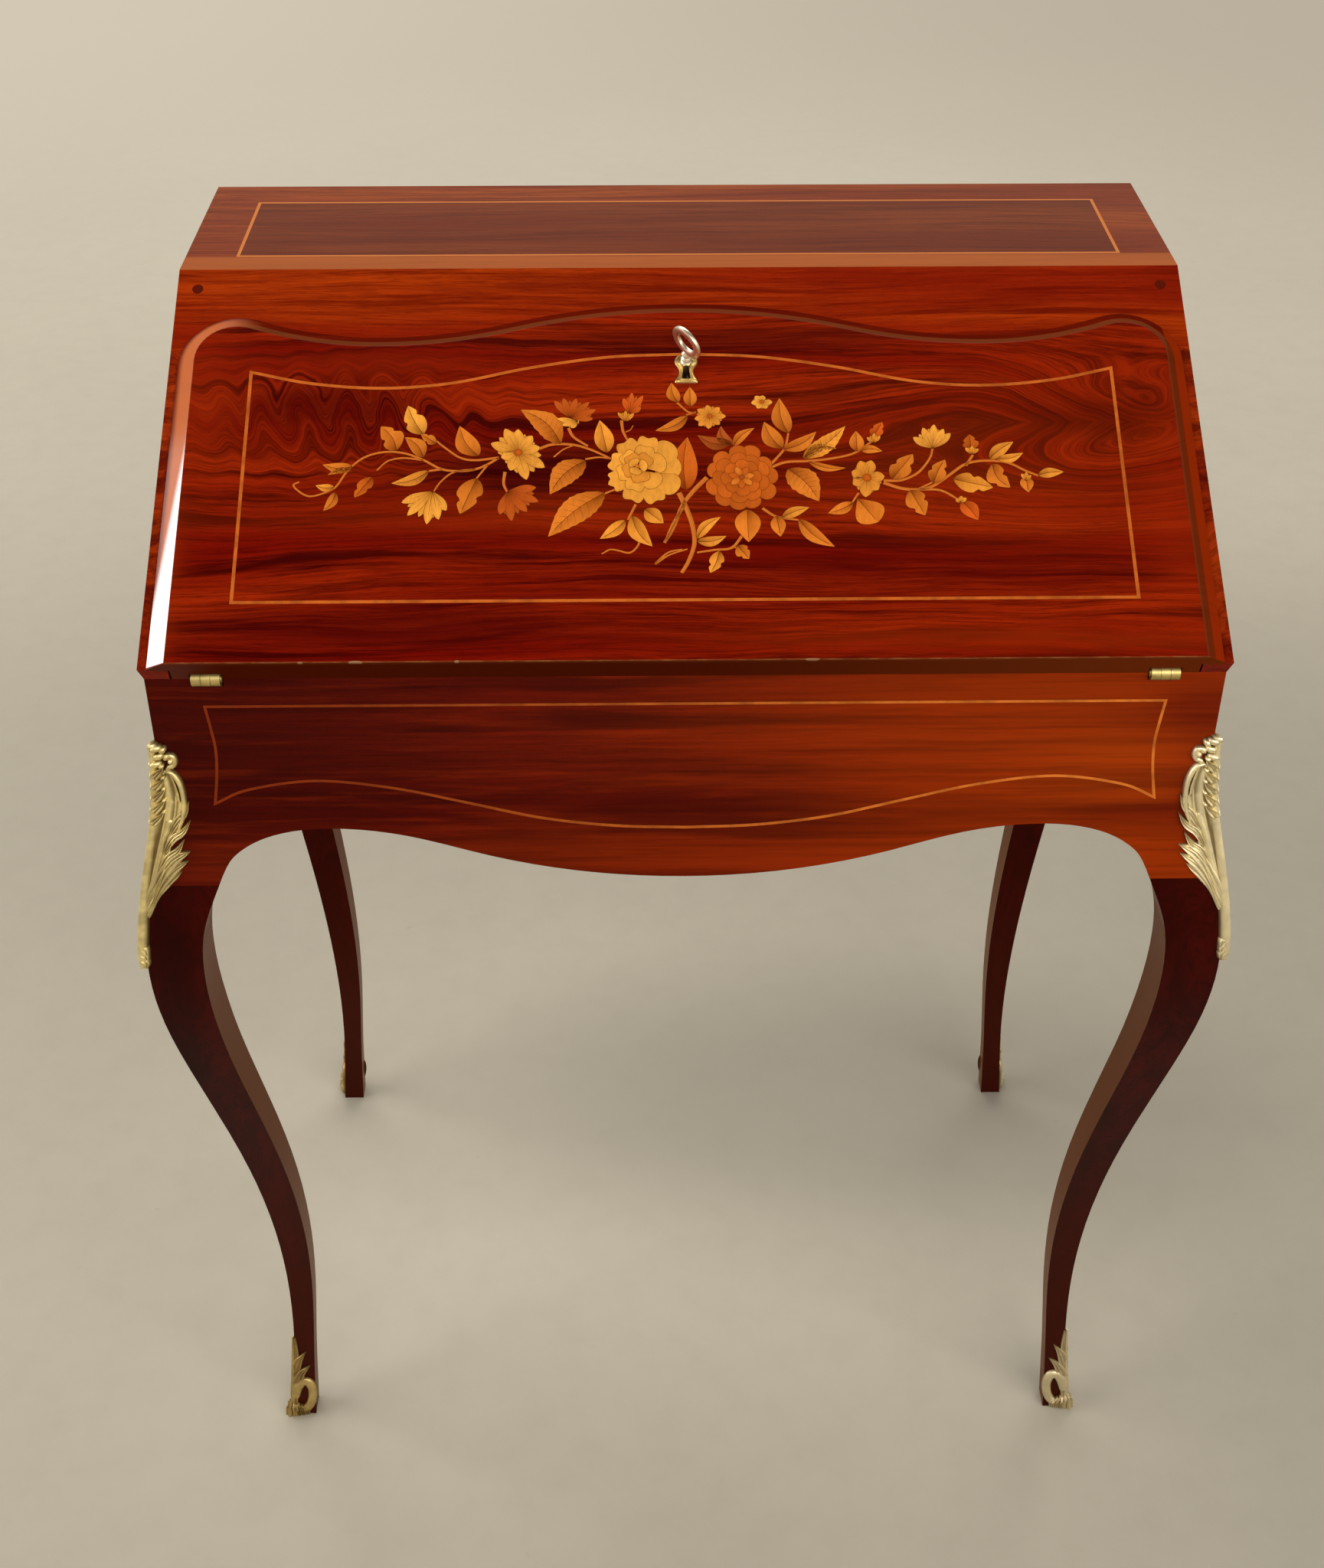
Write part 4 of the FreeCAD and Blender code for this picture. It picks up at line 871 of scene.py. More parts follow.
# The flower spray, laid out in lid millimetres: across, up the slope.
# A leaf: base, tip, width, bend, kind, tint. A head: centre, petal tips, width, tint.
LEAVES = (
    (-225.6, 150.8, -246.0, 152.4, 8.6, 0.1, "leaf", 2),
    (-226.0, 148.1, -242.0, 144.0, 4.8, -0.1, "leaf", 2),
    (-237.1, 134.3, -249.9, 135.8, 6.1, 0.1, "leaf", 1),
    (-236.0, 130.1, -243.5, 115.4, 7.2, 0.1, "leaf", 2),
    (-212.0, 142.3, -223.1, 125.9, 9.9, 0.0, "lobed", 3),
    (-195.9, 163.7, -207.7, 183.3, 16.2, -0.1, "lobed", 2),
    (-177.5, 158.1, -190.8, 174.3, 11.4, -0.12, "leaf", 2),
    (-178.1, 176.7, -189.7, 200.3, 15.2, 0.05, "lobed", 0),
    (-169.0, 169.2, -179.9, 176.7, 7.6, 0.0, "lobed", 2),
    (-140.0, 158.9, -153.5, 183.3, 15.2, 0.1, "leaf", 2),
    (-173.5, 146.8, -198.6, 137.0, 9.1, 0.1, "leaf", 1),
    (-140.8, 140.7, -151.4, 112.4, 17.1, 0.0, "lobed", 2),
    (-83.9, 168.5, -111.9, 196.4, 18.1, -0.12, "serrate", 2),
    (-52.0, 160.9, -57.3, 187.4, 13.3, 0.0, "leaf", 1),
    (3.4, 190.6, -19.1, 178.6, 8.6, 0.1, "leaf", 2),
    (-67.0, 154.7, -90.9, 127.5, 18.1, -0.1, "serrate", 2),
    (-53.8, 128.6, -91.6, 94.2, 21.0, -0.06, "serrate", 2),
    (-39.8, 106.6, -56.9, 92.3, 9.5, 0.05, "leaf", 1),
    (-35.5, 110.0, -21.7, 86.2, 12.4, -0.1, "leaf", 1),
    (-26.7, 115.1, -14.1, 104.3, 11.8, 0.0, "leaf", 1),
    (1.4, 130.5, 3.0, 173.2, 18.9, 0.05, "leaf", 3),
    (33.5, 168.4, 9.8, 174.8, 10.2, 0.15, "leaf", 4),
    (33.9, 166.8, 26.2, 182.2, 8.6, 0.2, "leaf", 4),
    (34.4, 165.5, 49.2, 180.4, 7.2, 0.1, "leaf", 2),
    (72.4, 176.1, 67.3, 204.9, 13.3, 0.08, "leaf", 2),
    (67.7, 163.6, 56.0, 185.4, 13.3, 0.08, "leaf", 2),
    (68.6, 162.5, 91.6, 177.1, 10.2, -0.1, "leaf", 2),
    (81.7, 155.6, 111.9, 181.5, 12.7, -0.05, "serrate", 1),
    (82.7, 155.1, 104.9, 163.3, 7.4, 0.2, "leaf", 1),
    (119.1, 160.9, 119.0, 177.5, 10.2, 0.0, "leaf", 2),
    (122.0, 161.4, 136.3, 160.8, 6.6, 0.1, "leaf", 2),
    (85.4, 152.6, 110.8, 147.5, 5.7, -0.1, "leaf", 2),
    (70.9, 146.7, 91.3, 120.9, 20.5, 0.08, "serrate", 2),
    (141.7, 138.2, 157.1, 158.4, 14.3, 0.0, "lobed", 2),
    (169.9, 134.7, 178.8, 153.7, 12.3, 0.05, "lobed", 2),
    (209.3, 154.1, 226.7, 168.0, 9.2, 0.05, "leaf", 1),
    (214.1, 154.1, 232.6, 158.9, 7.2, -0.1, "leaf", 1),
    (210.9, 150.0, 221.7, 130.9, 14.3, -0.15, "lobed", 2),
    (241.5, 140.8, 259.2, 143.3, 7.8, 0.05, "leaf", 1),
    (232.9, 139.7, 233.7, 127.0, 9.2, 0.0, "leaf", 2),
    (183.4, 137.9, 210.0, 131.0, 15.4, 0.0, "lobed", 1),
    (153.4, 129.2, 162.5, 109.3, 15.4, 0.0, "lobed", 2),
    (114.2, 119.6, 96.9, 111.3, 8.6, 0.05, "leaf", 2),
    (117.2, 122.9, 130.3, 104.0, 21.5, 0.0, "fan", 2),
    (65.7, 107.9, 84.5, 116.1, 7.8, 0.05, "leaf", 1),
    (62.0, 109.4, 64.3, 93.2, 10.2, 0.0, "leaf", 2),
    (76.9, 106.7, 100.3, 85.1, 10.7, -0.08, "leaf", 2),
    (42.5, 114.7, 42.7, 89.1, 17.4, 0.0, "leaf", 2),
    (22.9, 82.1, 16.4, 65.4, 9.8, 0.05, "lobed", 1),
    (35.1, 86.3, 42.7, 76.1, 10.2, 0.0, "lobed", 2),
    (8.2, 92.0, 24.5, 108.9, 7.8, 0.1, "leaf", 1),
    (8.2, 89.8, 27.9, 94.0, 7.8, -0.1, "leaf", 1),
    (-3.0, 202.0, -7.4, 218.3, 9.2, 0.1, "leaf", 2),
    (5.4, 198.4, 5.3, 214.7, 9.2, 0.0, "leaf", 2),
    (130.2, 172.2, 137.6, 184.7, 9.2, 0.0, "lobed", 5),
    (187.8, 120.1, 198.0, 105.2, 11.9, 0.05, "leaf", 5),
    (197.4, 161.4, 197.0, 174.0, 11.3, 0.0, "lobed", 3),
)
FANS = (
    ((-170.3, 130.6), ((-191.0, 121.5), (-186.6, 111.3), (-173.4, 104.4), (-165.6, 108.0), (-160.6, 115.1)),
     9.1, 0),
    ((-119.5, 130.2), ((-100.3, 133.1), (-98.4, 121.8), (-106.1, 113.7), (-116.4, 106.6), (-124.4, 111.8)),
     8.8, 6),
    ((-77.9, 189.7), ((-88.7, 203.8), (-82.5, 205.9), (-73.5, 205.4), (-64.5, 202.5), (-59.7, 196.0),
     (-61.8, 188.5)), 6.9, 6),
    ((-72.5, 186.5), ((-86.8, 188.7), (-83.2, 183.4), (-76.9, 181.2), (-71.6, 186.5)), 5.3, 0),
    ((-36.8, 192.6), ((-40.8, 205.6), (-34.9, 210.3), (-27.2, 207.6), (-28.7, 197.9)), 6.1, 5),
    ((-39.1, 186.2), ((-44.8, 193.8), (-39.5, 195.2), (-33.7, 193.0)), 3.8, 1),
    ((170.8, 162.8), ((158.0, 172.0), (165.2, 179.9), (173.1, 182.6), (179.5, 178.7), (184.1, 175.2)), 8.2,
     0),
    ((130.6, 167.6), ((126.4, 172.2), (131.4, 175.6), (135.5, 173.3)), 3.7, 1),
    ((197.6, 158.0), ((193.4, 163.3), (198.1, 164.8), (202.3, 162.5)), 3.7, 1),
    ((186.8, 119.0), ((184.2, 122.3), (188.1, 124.5), (191.2, 122.9)), 4.1, 1),
    ((232.6, 136.4), ((230.2, 142.0), (233.8, 143.6), (236.6, 140.8)), 3.3, 1),
)
DAISIES = (
    ((-113.0, 161.4), ((-131.8, 168.9), (-122.3, 180.9), (-113.4, 180.4), (-103.5, 175.0), (-98.1, 165.5),
     (-94.7, 149.1), (-106.9, 139.4), (-118.1, 146.8), (-124.5, 157.3)), 10.7, 0),
    ((18.7, 190.3), ((8.1, 188.0), (10.2, 196.1), (17.0, 199.5), (25.6, 197.6), (29.8, 190.2),
     (25.3, 183.3), (17.5, 179.9), (10.9, 182.3)), 7.0, 1),
    ((55.0, 202.0), ((47.5, 201.1), (50.3, 206.7), (55.8, 207.3), (62.3, 201.5), (58.3, 196.4),
     (51.6, 196.5)), 6.1, 0),
    ((124.7, 139.5), ((114.5, 144.5), (120.6, 153.0), (128.3, 153.4), (136.7, 140.5), (131.7, 129.4),
     (122.9, 123.9), (114.9, 134.0)), 11.5, 1),
)
STEMS = (
    (1.1, ((-126.2, 157.3), (-133.2, 152.1), (-141.9, 148.0), (-152.4, 146.6), (-164.8, 148.2),
     (-177.4, 155.6), (-189.9, 161.0), (-202.4, 162.5), (-214.6, 159.7), (-223.1, 153.9), (-229.8, 145.6),
     (-236.2, 134.3), (-244.7, 129.2), (-254.2, 127.2), (-262.3, 132.4), (-264.7, 136.5), (-261.0, 138.6))),
    (0.9, ((-177.4, 155.6), (-191.6, 157.4), (-202.0, 154.8), (-208.8, 147.5))),
    (1.1, ((-126.2, 157.3), (-142.1, 155.3), (-152.7, 157.5), (-163.6, 166.0), (-170.0, 172.0))),
    (1.1, ((-164.8, 148.2), (-173.5, 146.8))),
    (0.9, ((-141.9, 148.0), (-155.9, 146.0), (-164.5, 138.8), (-169.5, 130.6))),
    (0.9, ((-133.2, 152.1), (-140.8, 140.7))),
    (1.3, ((-121.6, 145.8), (-122.3, 136.4), (-119.5, 129.2))),
    (1.3, ((-98.9, 164.4), (-89.2, 167.9), (-75.0, 167.4), (-62.6, 163.1), (-48.8, 155.6))),
    (0.7, ((-88.6, 157.6), (-82.1, 163.7), (-75.0, 167.0))),
    (0.9, ((-67.0, 155.8), (-57.3, 157.2), (-48.5, 155.6))),
    (0.9, ((-54.6, 127.6), (-45.9, 131.7))),
    (1.3, ((-78.7, 181.2), (-75.1, 173.8), (-65.3, 166.3))),
    (1.3, ((-42.2, 187.3), (-41.3, 178.8), (-38.1, 170.9))),
    (0.5, ((-39.5, 177.7), (-36.3, 179.4), (-34.2, 183.0))),
    (1.1, ((-32.8, 119.2), (-38.1, 107.0))),
    (0.9, ((-29.5, 92.7), (-32.1, 85.7), (-37.3, 81.3), (-45.1, 83.2), (-50.3, 83.8), (-55.8, 80.5))),
    (0.9, ((-20.1, 72.6), (-10.6, 79.5), (1.6, 84.0))),
    (1.5, ((0.1, 118.9), (-8.5, 101.7), (-13.0, 89.6))),
    (1.2, ((55.7, 146.3), (63.6, 155.7), (69.7, 164.3), (72.4, 176.1))),
    (1.2, ((55.7, 146.3), (69.2, 152.3), (84.5, 153.3), (99.8, 155.0), (115.2, 158.7), (125.1, 165.4),
     (134.1, 172.9))),
    (1.2, ((135.9, 137.2), (148.3, 137.5), (160.0, 143.7), (168.4, 154.9), (170.8, 162.8))),
    (1.4, ((135.8, 135.4), (147.9, 130.8), (159.2, 129.9), (168.8, 132.4), (180.8, 141.3), (192.8, 150.2),
     (206.3, 152.8), (221.4, 151.1), (232.4, 144.9), (241.5, 140.4))),
    (0.9, ((159.2, 130.3), (169.0, 135.8), (173.2, 141.4))),
    (1.2, ((159.2, 129.9), (174.2, 129.1), (186.9, 120.8))),
    (1.2, ((192.7, 148.8), (198.1, 157.4))),
    (0.9, ((118.4, 127.3), (113.6, 119.6))),
    (1.2, ((52.8, 115.7), (62.0, 109.0), (76.9, 106.2))),
    (1.2, ((39.1, 95.0), (31.4, 84.8), (20.2, 83.2), (8.0, 81.2))),
    (1.9, ((15.8, 140.4), (6.1, 129.3), (-1.7, 117.2), (-7.5, 100.8), (-13.7, 88.9))),
    (2.1, ((-3.4, 128.3), (2.1, 113.9), (5.6, 100.7), (6.3, 87.7), (2.3, 74.7), (-2.5, 65.6))),
    (0.9, ((-20.0, 72.8), (-11.5, 81.3), (-1.8, 83.8))),
    (0.9, ((-3.8, 202.0), (3.4, 194.3), (9.1, 193.1))),
    (0.9, ((9.2, 193.6), (2.4, 191.5))),
    (0.9, ((234.8, 139.7), (233.6, 137.5))),
    (0.7, ((33.2, 85.3), (36.5, 83.1))),
    (0.9, ((22.9, 83.2), (22.3, 80.6))),
)


# The pale rose, ring by ring: offset of its centre, inner reach, tint, and for each petal
# its angle, outer reach, half spread and number of lobes.
ROSE_RINGS = (
    ((0.0, 0.0), 8.0, 0, (
        (8, 26.0, 0.42, 1), (44, 28.6, 0.42, 1), (82, 27.4, 0.40, 2), (121, 27.6, 0.42, 2),
        (160, 25.6, 0.42, 2), (203, 26.2, 0.44, 3), (249, 25.6, 0.44, 2), (291, 26.6, 0.42, 2),
        (330, 27.6, 0.40, 1))),
    ((-2.4, 1.6), 5.0, 0, (
        (20, 18.6, 0.56, 1), (76, 18.8, 0.54, 2), (134, 17.0, 0.54, 2), (194, 16.8, 0.56, 2),
        (254, 18.2, 0.56, 2), (314, 18.0, 0.54, 1))),
    ((-3.8, 3.0), 2.6, 1, (
        (48, 12.2, 0.72, 2), (124, 11.6, 0.70, 2), (201, 11.4, 0.72, 2), (284, 12.6, 0.80, 2))),
    ((-4.2, 3.4), 0.8, 0, ((10, 7.0, 0.98, 1), (130, 6.4, 1.0, 1), (250, 6.8, 1.0, 2))),
)
# The dark rose, ring by ring: number of petals, inner and outer reach, half spread.
DARK_ROSE_RINGS = ((11, 9.0, 25.2, 0.33), (9, 7.0, 19.6, 0.40), (8, 4.5, 14.2, 0.45))
PALE_ROSE = (-27.3, 146.1)
PALE_ROSE_EYE = (-31.6, 149.6)
DARK_ROSE = (39.4, 140.2)


def around(centre, reach, angle, stretch=1.0):
    """The point at a reach and angle from a centre."""
    return (centre[0] + reach * math.cos(angle), centre[1] + reach * math.sin(angle) * stretch)


class InlaySheet:
    """Gathers many small flat pieces of wood into one mesh."""

    def __init__(self, name, material):
        self.name, self.material = name, material
        self.verts, self.faces, self.tints, self.shades = [], [], [], []

    def grid(self, rows, lift, tint, shade):
        """Rows of (x, s) points, joined in quads; shade(u, v) darkens."""
        start = len(self.verts)
        count, across = len(rows), len(rows[0])
        for r, row in enumerate(rows):
            for c, (x, s) in enumerate(row):
                value = shade(r / (count - 1), 2 * c / (across - 1) - 1)
                self.verts.append(slope_place(x, s, LID_FACE + lift))
                self.tints.append(tint)
                self.shades.append((value, value ** 1.25, value ** 1.5))
        for r in range(count - 1):
            for c in range(across - 1):
                a = start + r * across + c
                self.faces.append((a, a + 1, a + across + 1, a + across))

    def finish(self):
        """Makes the piece, with every face towards the lid's outside."""
        mesh = bpy.data.meshes.new(self.name)
        mesh.from_pydata([tuple(v) for v in self.verts], [], self.faces)
        out = Vector((0.0, -math.sin(SLOPE_ANGLE), math.cos(SLOPE_ANGLE)))
        work = bmesh.new()
        work.from_mesh(mesh)
        bmesh.ops.reverse_faces(work, faces=[f for f in work.faces if f.normal.dot(out) < 0])
        work.to_mesh(mesh)
        work.free()
        piece = new_piece(self.name, mesh, self.material, "lid", "veneer")
        paint_points(piece, "Tint", self.tints)
        paint_points(piece, "Shade", self.shades)


def dent(t, place, depth):
    """A narrow dip in a blade's outline; t runs from stalk to tip."""
    return 1 - depth * math.exp(-((t - place) / 0.07) ** 2)


def blade_halves(kind, t, teeth):
    """The shares of full width that a blade's two halves have at t."""
    if kind == "lobed":
        return (math.sin(math.pi * t ** 0.85) ** 0.9 * dent(t, 0.66, 0.42),
                math.sin(math.pi * t ** 0.75) ** 0.9 * dent(t, 0.48, 0.34))
    if kind == "fan":
        swell = math.sin(math.pi * t ** 1.5) ** 0.7
    elif kind == "petal":
        swell = math.sin(math.pi * min(1.0, t ** 1.35)) ** 0.75
    else:
        swell = math.sin(math.pi * t ** 0.78) ** 0.95
    if kind == "serrate":
        swell *= 1 + 0.13 * ((t * teeth) % 1.0 - 0.5)
    return swell, swell


def blade_rows(base, tip, width, bend, kind, grow=0.0, rows=19):
    """Cross rows of a leaf from its stalk to its tip."""
    tooth_length = 5.5
    base, tip = Vector(base), Vector(tip)
    axis = tip - base
    length = axis.length + 2 * grow
    axis.normalize()
    side = Vector((-axis.y, axis.x))
    base = base - axis * grow
    teeth = max(3, round(length / tooth_length))
    result = []
    for r in range(rows):
        t = r / (rows - 1)
        swell, other = blade_halves(kind, t, teeth)
        rim = grow if 0 < r < rows - 1 else 0.0
        centre = base + axis * (length * t) + side * (bend * length * math.sin(math.pi * t))
        result.append([tuple(centre + side * (width / 2 * (swell if v < 0 else other) + rim) * v)
                       for v in (-1, -0.5, -0.04, 0.04, 0.5, 1)])
    return result


def plain_shade(u, v):
    return 1.0


def leaf_shade(u, v):
    """Scorched towards the stalk and along one side of the vein."""
    value = 1.12 - 0.66 * math.exp(-u * 3.4) - 0.14 * u ** 4
    if v > 0.0:
        value -= 0.34 * (1 - 0.5 * u) * (1 - abs(v)) + 0.07
    return max(0.3, value)


def petal_shade(u, v):
    return max(0.25, 1.04 - 0.64 * math.exp(-u * 3.2) - 0.14 * v ** 2)


def add_leaf(sheets, base, tip, width, bend, kind, tone, lift, salt=0.0):
    """A leaf or petal in a dark cut line; long leaves get veins."""
    short, vein, side_vein, cut_width, above = 11.0, 0.34, 0.24, 0.2, 0.02
    wood, cut = sheets
    tint = scaled(linear(TINTS[tone]), 1.0 + salt)
    rows = blade_rows(base, tip, width, bend, kind)
    cut.grid(blade_rows(base, tip, width, bend, kind, cut_width), lift - above, tint, plain_shade)
    wood.grid(rows, lift, tint, petal_shade if kind == "petal" else leaf_shade)
    if kind == "petal" or math.dist(base, tip) < short:
        return
    middle = [tuple((Vector(row[2]) + Vector(row[3])) / 2) for row in rows]
    add_line(cut, middle[:-2], vein, lift + above)
    if kind == "serrate":
        for r in range(3, len(rows) - 4, 2):
            for edge in (0, 5):
                root, out = Vector(middle[r]), Vector(rows[r + 2][edge])
                add_line(cut, [tuple(root), tuple(root.lerp(out, 0.8))], side_vein, lift + above)


def add_line(sheet, line, width, lift):
    """A dark cut line that thins at its end."""
    rows = []
    for k, ((x, s), normal) in enumerate(zip(line, side_normals(line))):
        thin = width / 2 * (1.0 if k < len(line) - 1 else 0.3)
        rows.append([(x + normal.x * thin * v, s + normal.y * thin * v) for v in (-1, 1)])
    sheet.grid(rows, lift, CUT_TONE, plain_shade)


def add_petal(sheets, centre, angle, near, far, spread, tone, lift, lobes, ruffle, salt, side):
    """One rounded rose petal as a piece of a ring, with a scalloped edge."""
    wood, cut = sheets
    deep, wide, stretch = 6, 7, 1.06
    tint = scaled(linear(TINTS[tone]), 1.0 + salt)

    def shade(u, v):
        scorch = 0.42 * math.exp(-u * 2.8) + 0.16 * max(0.0, v * side) ** 2
        return max(0.4, 1 - scorch - 0.05 * (u > 0.95))

    for sheet, grow, high in ((cut, 0.22, lift - 0.015), (wood, 0.0, lift)):
        rows = []
        for r in range(deep + 1):
            row = []
            for c in range(2 * wide + 1):
                v = c / wide - 1
                notch = 0.5 + 0.5 * math.cos(math.pi * lobes * (v + 1)) if lobes > 1 else 0.0
                edge = far * (1 - 0.13 * v * v - 0.1 * v ** 6 - ruffle * notch)
                reach = near + (edge + grow - near) * r / deep
                half = spread * (0.72 + 0.28 * (r / deep) ** 0.7) + grow / max(reach, 1.0) * 0.9
                row.append(around(centre, reach, angle + v * half, stretch))
            rows.append(row)
        sheet.grid(rows, high, tint, shade)


def add_disc(sheet, centre, radius, tone, lift):
    """A small round eye of a flower."""
    sides = 14
    rows = [[centre] * (sides + 1)]
    for share in (0.15, 0.575, 1.0):
        rows.append([around(centre, radius * share, k * math.tau / sides) for k in range(sides + 1)])
    sheet.grid(rows, lift, linear(TINTS[tone]), lambda u, v: 1 - 0.4 * u ** 2)


def add_roses(sheets, rng):
    """The pale rose on the left and the dark one with its star on the right."""
    for ring, (offset, near, tone, petals) in enumerate(ROSE_RINGS):
        centre = (PALE_ROSE[0] + offset[0], PALE_ROSE[1] + offset[1])
        for k, (angle, far, spread, lobes) in enumerate(petals):
            add_petal(sheets, centre, math.radians(angle), near, far, spread, tone,
                      ROSE_LIFT + 0.06 * ring + 0.005 * k, lobes, 0.09, rng.uniform(-0.12, 0.06), 1.0)
    add_disc(sheets[0], PALE_ROSE_EYE, 1.6, 2, EYE_LIFT)
    for ring, (count, near, far, spread) in enumerate(DARK_ROSE_RINGS):
        for k in range(count):
            angle = math.tau * (k + 0.5 * ring) / count + rng.uniform(-0.07, 0.07)
            reach = far * rng.uniform(0.94, 1.03)
            add_petal(sheets, DARK_ROSE, angle, near, reach, spread, 3,
                      ROSE_LIFT + 0.07 * ring + 0.004 * k, 1, 0.0, rng.uniform(-0.16, 0.1), -1.0)
    points = 7
    for k in range(points):
        tip = around(DARK_ROSE, 9.0, math.tau * k / points + 0.2)
        add_leaf(sheets, DARK_ROSE, tip, 4.6, 0.0, "petal", 3 if k % 2 else 2, STAR_LIFT + 0.004 * k)
    add_disc(sheets[0], DARK_ROSE, 2.2, 4, EYE_LIFT + 0.04)


def small_petals(centre, tips):
    """Tips of the shorter petals in the narrow gaps between the given ones."""
    least, most, shorter = 0.2, 1.2, 0.86
    extra = []
    for a, b in zip(tips, (*tips[1:], tips[0])):
        first = math.atan2(a[1] - centre[1], a[0] - centre[0])
        gap = (math.atan2(b[1] - centre[1], b[0] - centre[0]) - first + math.pi) % math.tau - math.pi
        if least < abs(gap) < most:
            reach = shorter * (math.dist(a, centre) + math.dist(b, centre)) / 2
            extra.append(around(centre, reach, first + gap / 2))
    return extra


def add_stem(sheet, width, line):
    """A stem that thins towards its far end, darker on one side."""
    path = smooth_line(line, 5) if len(line) > 2 else list(line)
    rows = []
    for k, ((x, s), normal) in enumerate(zip(path, side_normals(path))):
        half = width * (0.86 - 0.3 * k / len(path))
        rows.append([(x + normal.x * half * v, s + normal.y * half * v) for v in (-1, 0, 1)])
    sheet.grid(rows, STEM_LIFT, linear(STEM_TONE), lambda u, v: 1 - 0.3 * max(0.0, v))


def add_head(sheets, centre, tips, width, tone, rng):
    """A flower head: short petals behind, then long ones with a cut vein each."""
    short_share, long_share, vein_share, vein = 0.6, 0.74, 0.72, 0.3
    for tip in small_petals(centre, tips):
        add_leaf(sheets, centre, tip, width * short_share, 0.0, "petal", tone, SHORT_PETAL_LIFT, -0.16)
    for k, tip in enumerate(tips):
        add_leaf(sheets, centre, tip, width * long_share, 0.0, "petal", tone,
                 PETAL_LIFT + 0.01 * (k % 2), rng.uniform(-0.1, 0.06))
        middle = tuple(c + (t - c) * vein_share for c, t in zip(centre, tip))
        add_line(sheets[1], [centre, middle], vein, VEIN_LIFT)


def add_spray(sheets, stems, rng):
    """Every stem, leaf and small flower around the roses."""
    for width, line in STEMS:
        add_stem(stems, width, line)
    for base_x, base_s, tip_x, tip_s, width, bend, kind, tone in LEAVES:
        add_leaf(sheets, (base_x, base_s), (tip_x, tip_s), width, bend, kind, tone,
                 LEAF_LIFT, rng.uniform(-0.12, 0.12))
    for head in FANS:
        add_head(sheets, *head, rng)
    for centre, tips, width, tone in DAISIES:
        add_head(sheets, centre, tips, width, tone, rng)
        add_disc(sheets[0], centre, width * 0.28, 3, DAISY_EYE_LIFT)


# Gilt castings

KNEE_TOP = 739.0

# The tall leaf's outer edge on the knee mount: height, reach from the corner.
TALL_LEAF_EDGE = (
    (596.0, 1.8), (604.0, 2.6), (612.0, 4.4), (622.0, 7.6), (634.0, 10.2), (645.0, 11.6), (652.0, 12.2),
    (657.0, 13.6), (662.0, 16.4), (668.0, 18.0), (669.0, 15.0), (674.0, 15.4), (682.0, 16.4), (684.0, 14.6),
    (690.0, 13.6), (697.0, 11.4), (704.0, 8.4), (708.0, 5.0),
)
# Leaves, as the rib's path (reach from the corner, height), half widths, thickness and seat.
KNEE_FAN = (
    (((1.8, 596.0), (5.5, 611.5), (11.5, 621.5), (17.0, 626.5), (22.0, 630.6)),
     (1.5, 3.2, 3.8, 2.6, 0.05), 1.9, 0.0),
    (((1.8, 598.0), (6.5, 617.0), (13.0, 629.0), (19.0, 634.6), (25.4, 638.6)),
     (1.5, 3.6, 4.4, 3.0, 0.05), 2.1, 0.5),
    (((1.8, 600.0), (6.0, 622.0), (12.5, 636.0), (18.5, 642.0), (25.6, 645.6)),
     (1.5, 3.4, 4.6, 3.4, 0.05), 2.3, 0.9),
)
SABOT_LEAVES = (
    (((1.0, 46.0), (1.6, 62.0), (1.8, 80.0), (1.2, 97.0)), (2.2, 2.2, 1.6, 0.1), 1.5, 0.0),
    (((1.6, 50.0), (2.6, 61.0), (4.6, 71.0), (9.8, 79.5)), (2.2, 3.0, 2.7, 0.05), 2.1, 0.3),
    (((2.0, 36.0), (4.0, 46.0), (7.0, 55.0), (13.6, 62.5)), (2.6, 3.6, 3.0, 0.05), 2.3, 0.4),
)
# Lobes that curl off the tall leaf: middle and tip.
KNEE_LOBES = (
    ((12.2, 655.0), (22.8, 669.0)),
    ((10.6, 641.0), (20.4, 655.0)),
    ((13.6, 668.0), (20.6, 683.0)),
)
# Ribs and scrolls: path, half widths and height.
KNEE_SCROLLS = (
    (((4.4, 707.5), (9.0, 706.0), (13.4, 699.5), (16.2, 690.0), (17.4, 680.0), (17.2, 670.0),
      (14.6, 660.0), (11.4, 650.0)), (1.0, 1.9, 2.2, 2.1, 2.0, 1.8, 1.2, 0.5), 4.2),
    (((2.6, 598.0), (5.4, 626.0), (8.6, 650.0), (11.6, 672.0), (11.4, 692.0)),
     (0.7, 1.0, 1.1, 1.2, 0.6), 3.0),
    (((1.8, 604.0), (3.4, 634.0), (4.8, 662.0), (6.0, 686.0), (5.6, 700.0)),
     (0.6, 0.9, 1.0, 1.1, 0.6), 3.2),
    (((7.0, 717.4), (8.8, 719.2), (11.0, 718.2), (12.0, 714.4), (10.6, 711.0), (7.6, 709.8), (4.6, 706.0)),
     (1.2, 1.9, 2.1, 2.2, 2.1, 1.8, 1.0), 3.4),
)
SABOT_SCROLL = (
    ((2.2, 24.0), (3.6, 35.0), (7.4, 42.0), (12.0, 41.0), (15.2, 34.0), (15.8, 24.5), (14.4, 15.0),
     (11.0, 8.8), (6.8, 7.4), (3.0, 10.0)), (2.6, 3.9, 4.3, 4.3, 4.2, 4.1, 4.1, 4.2, 4.0, 2.0), 3.2)
KNEE_CROWN_BEADS = ((3.0, 719.0), (6.6, 718.0), (2.2, 725.4), (5.2, 724.0), (1.4, 713.0))


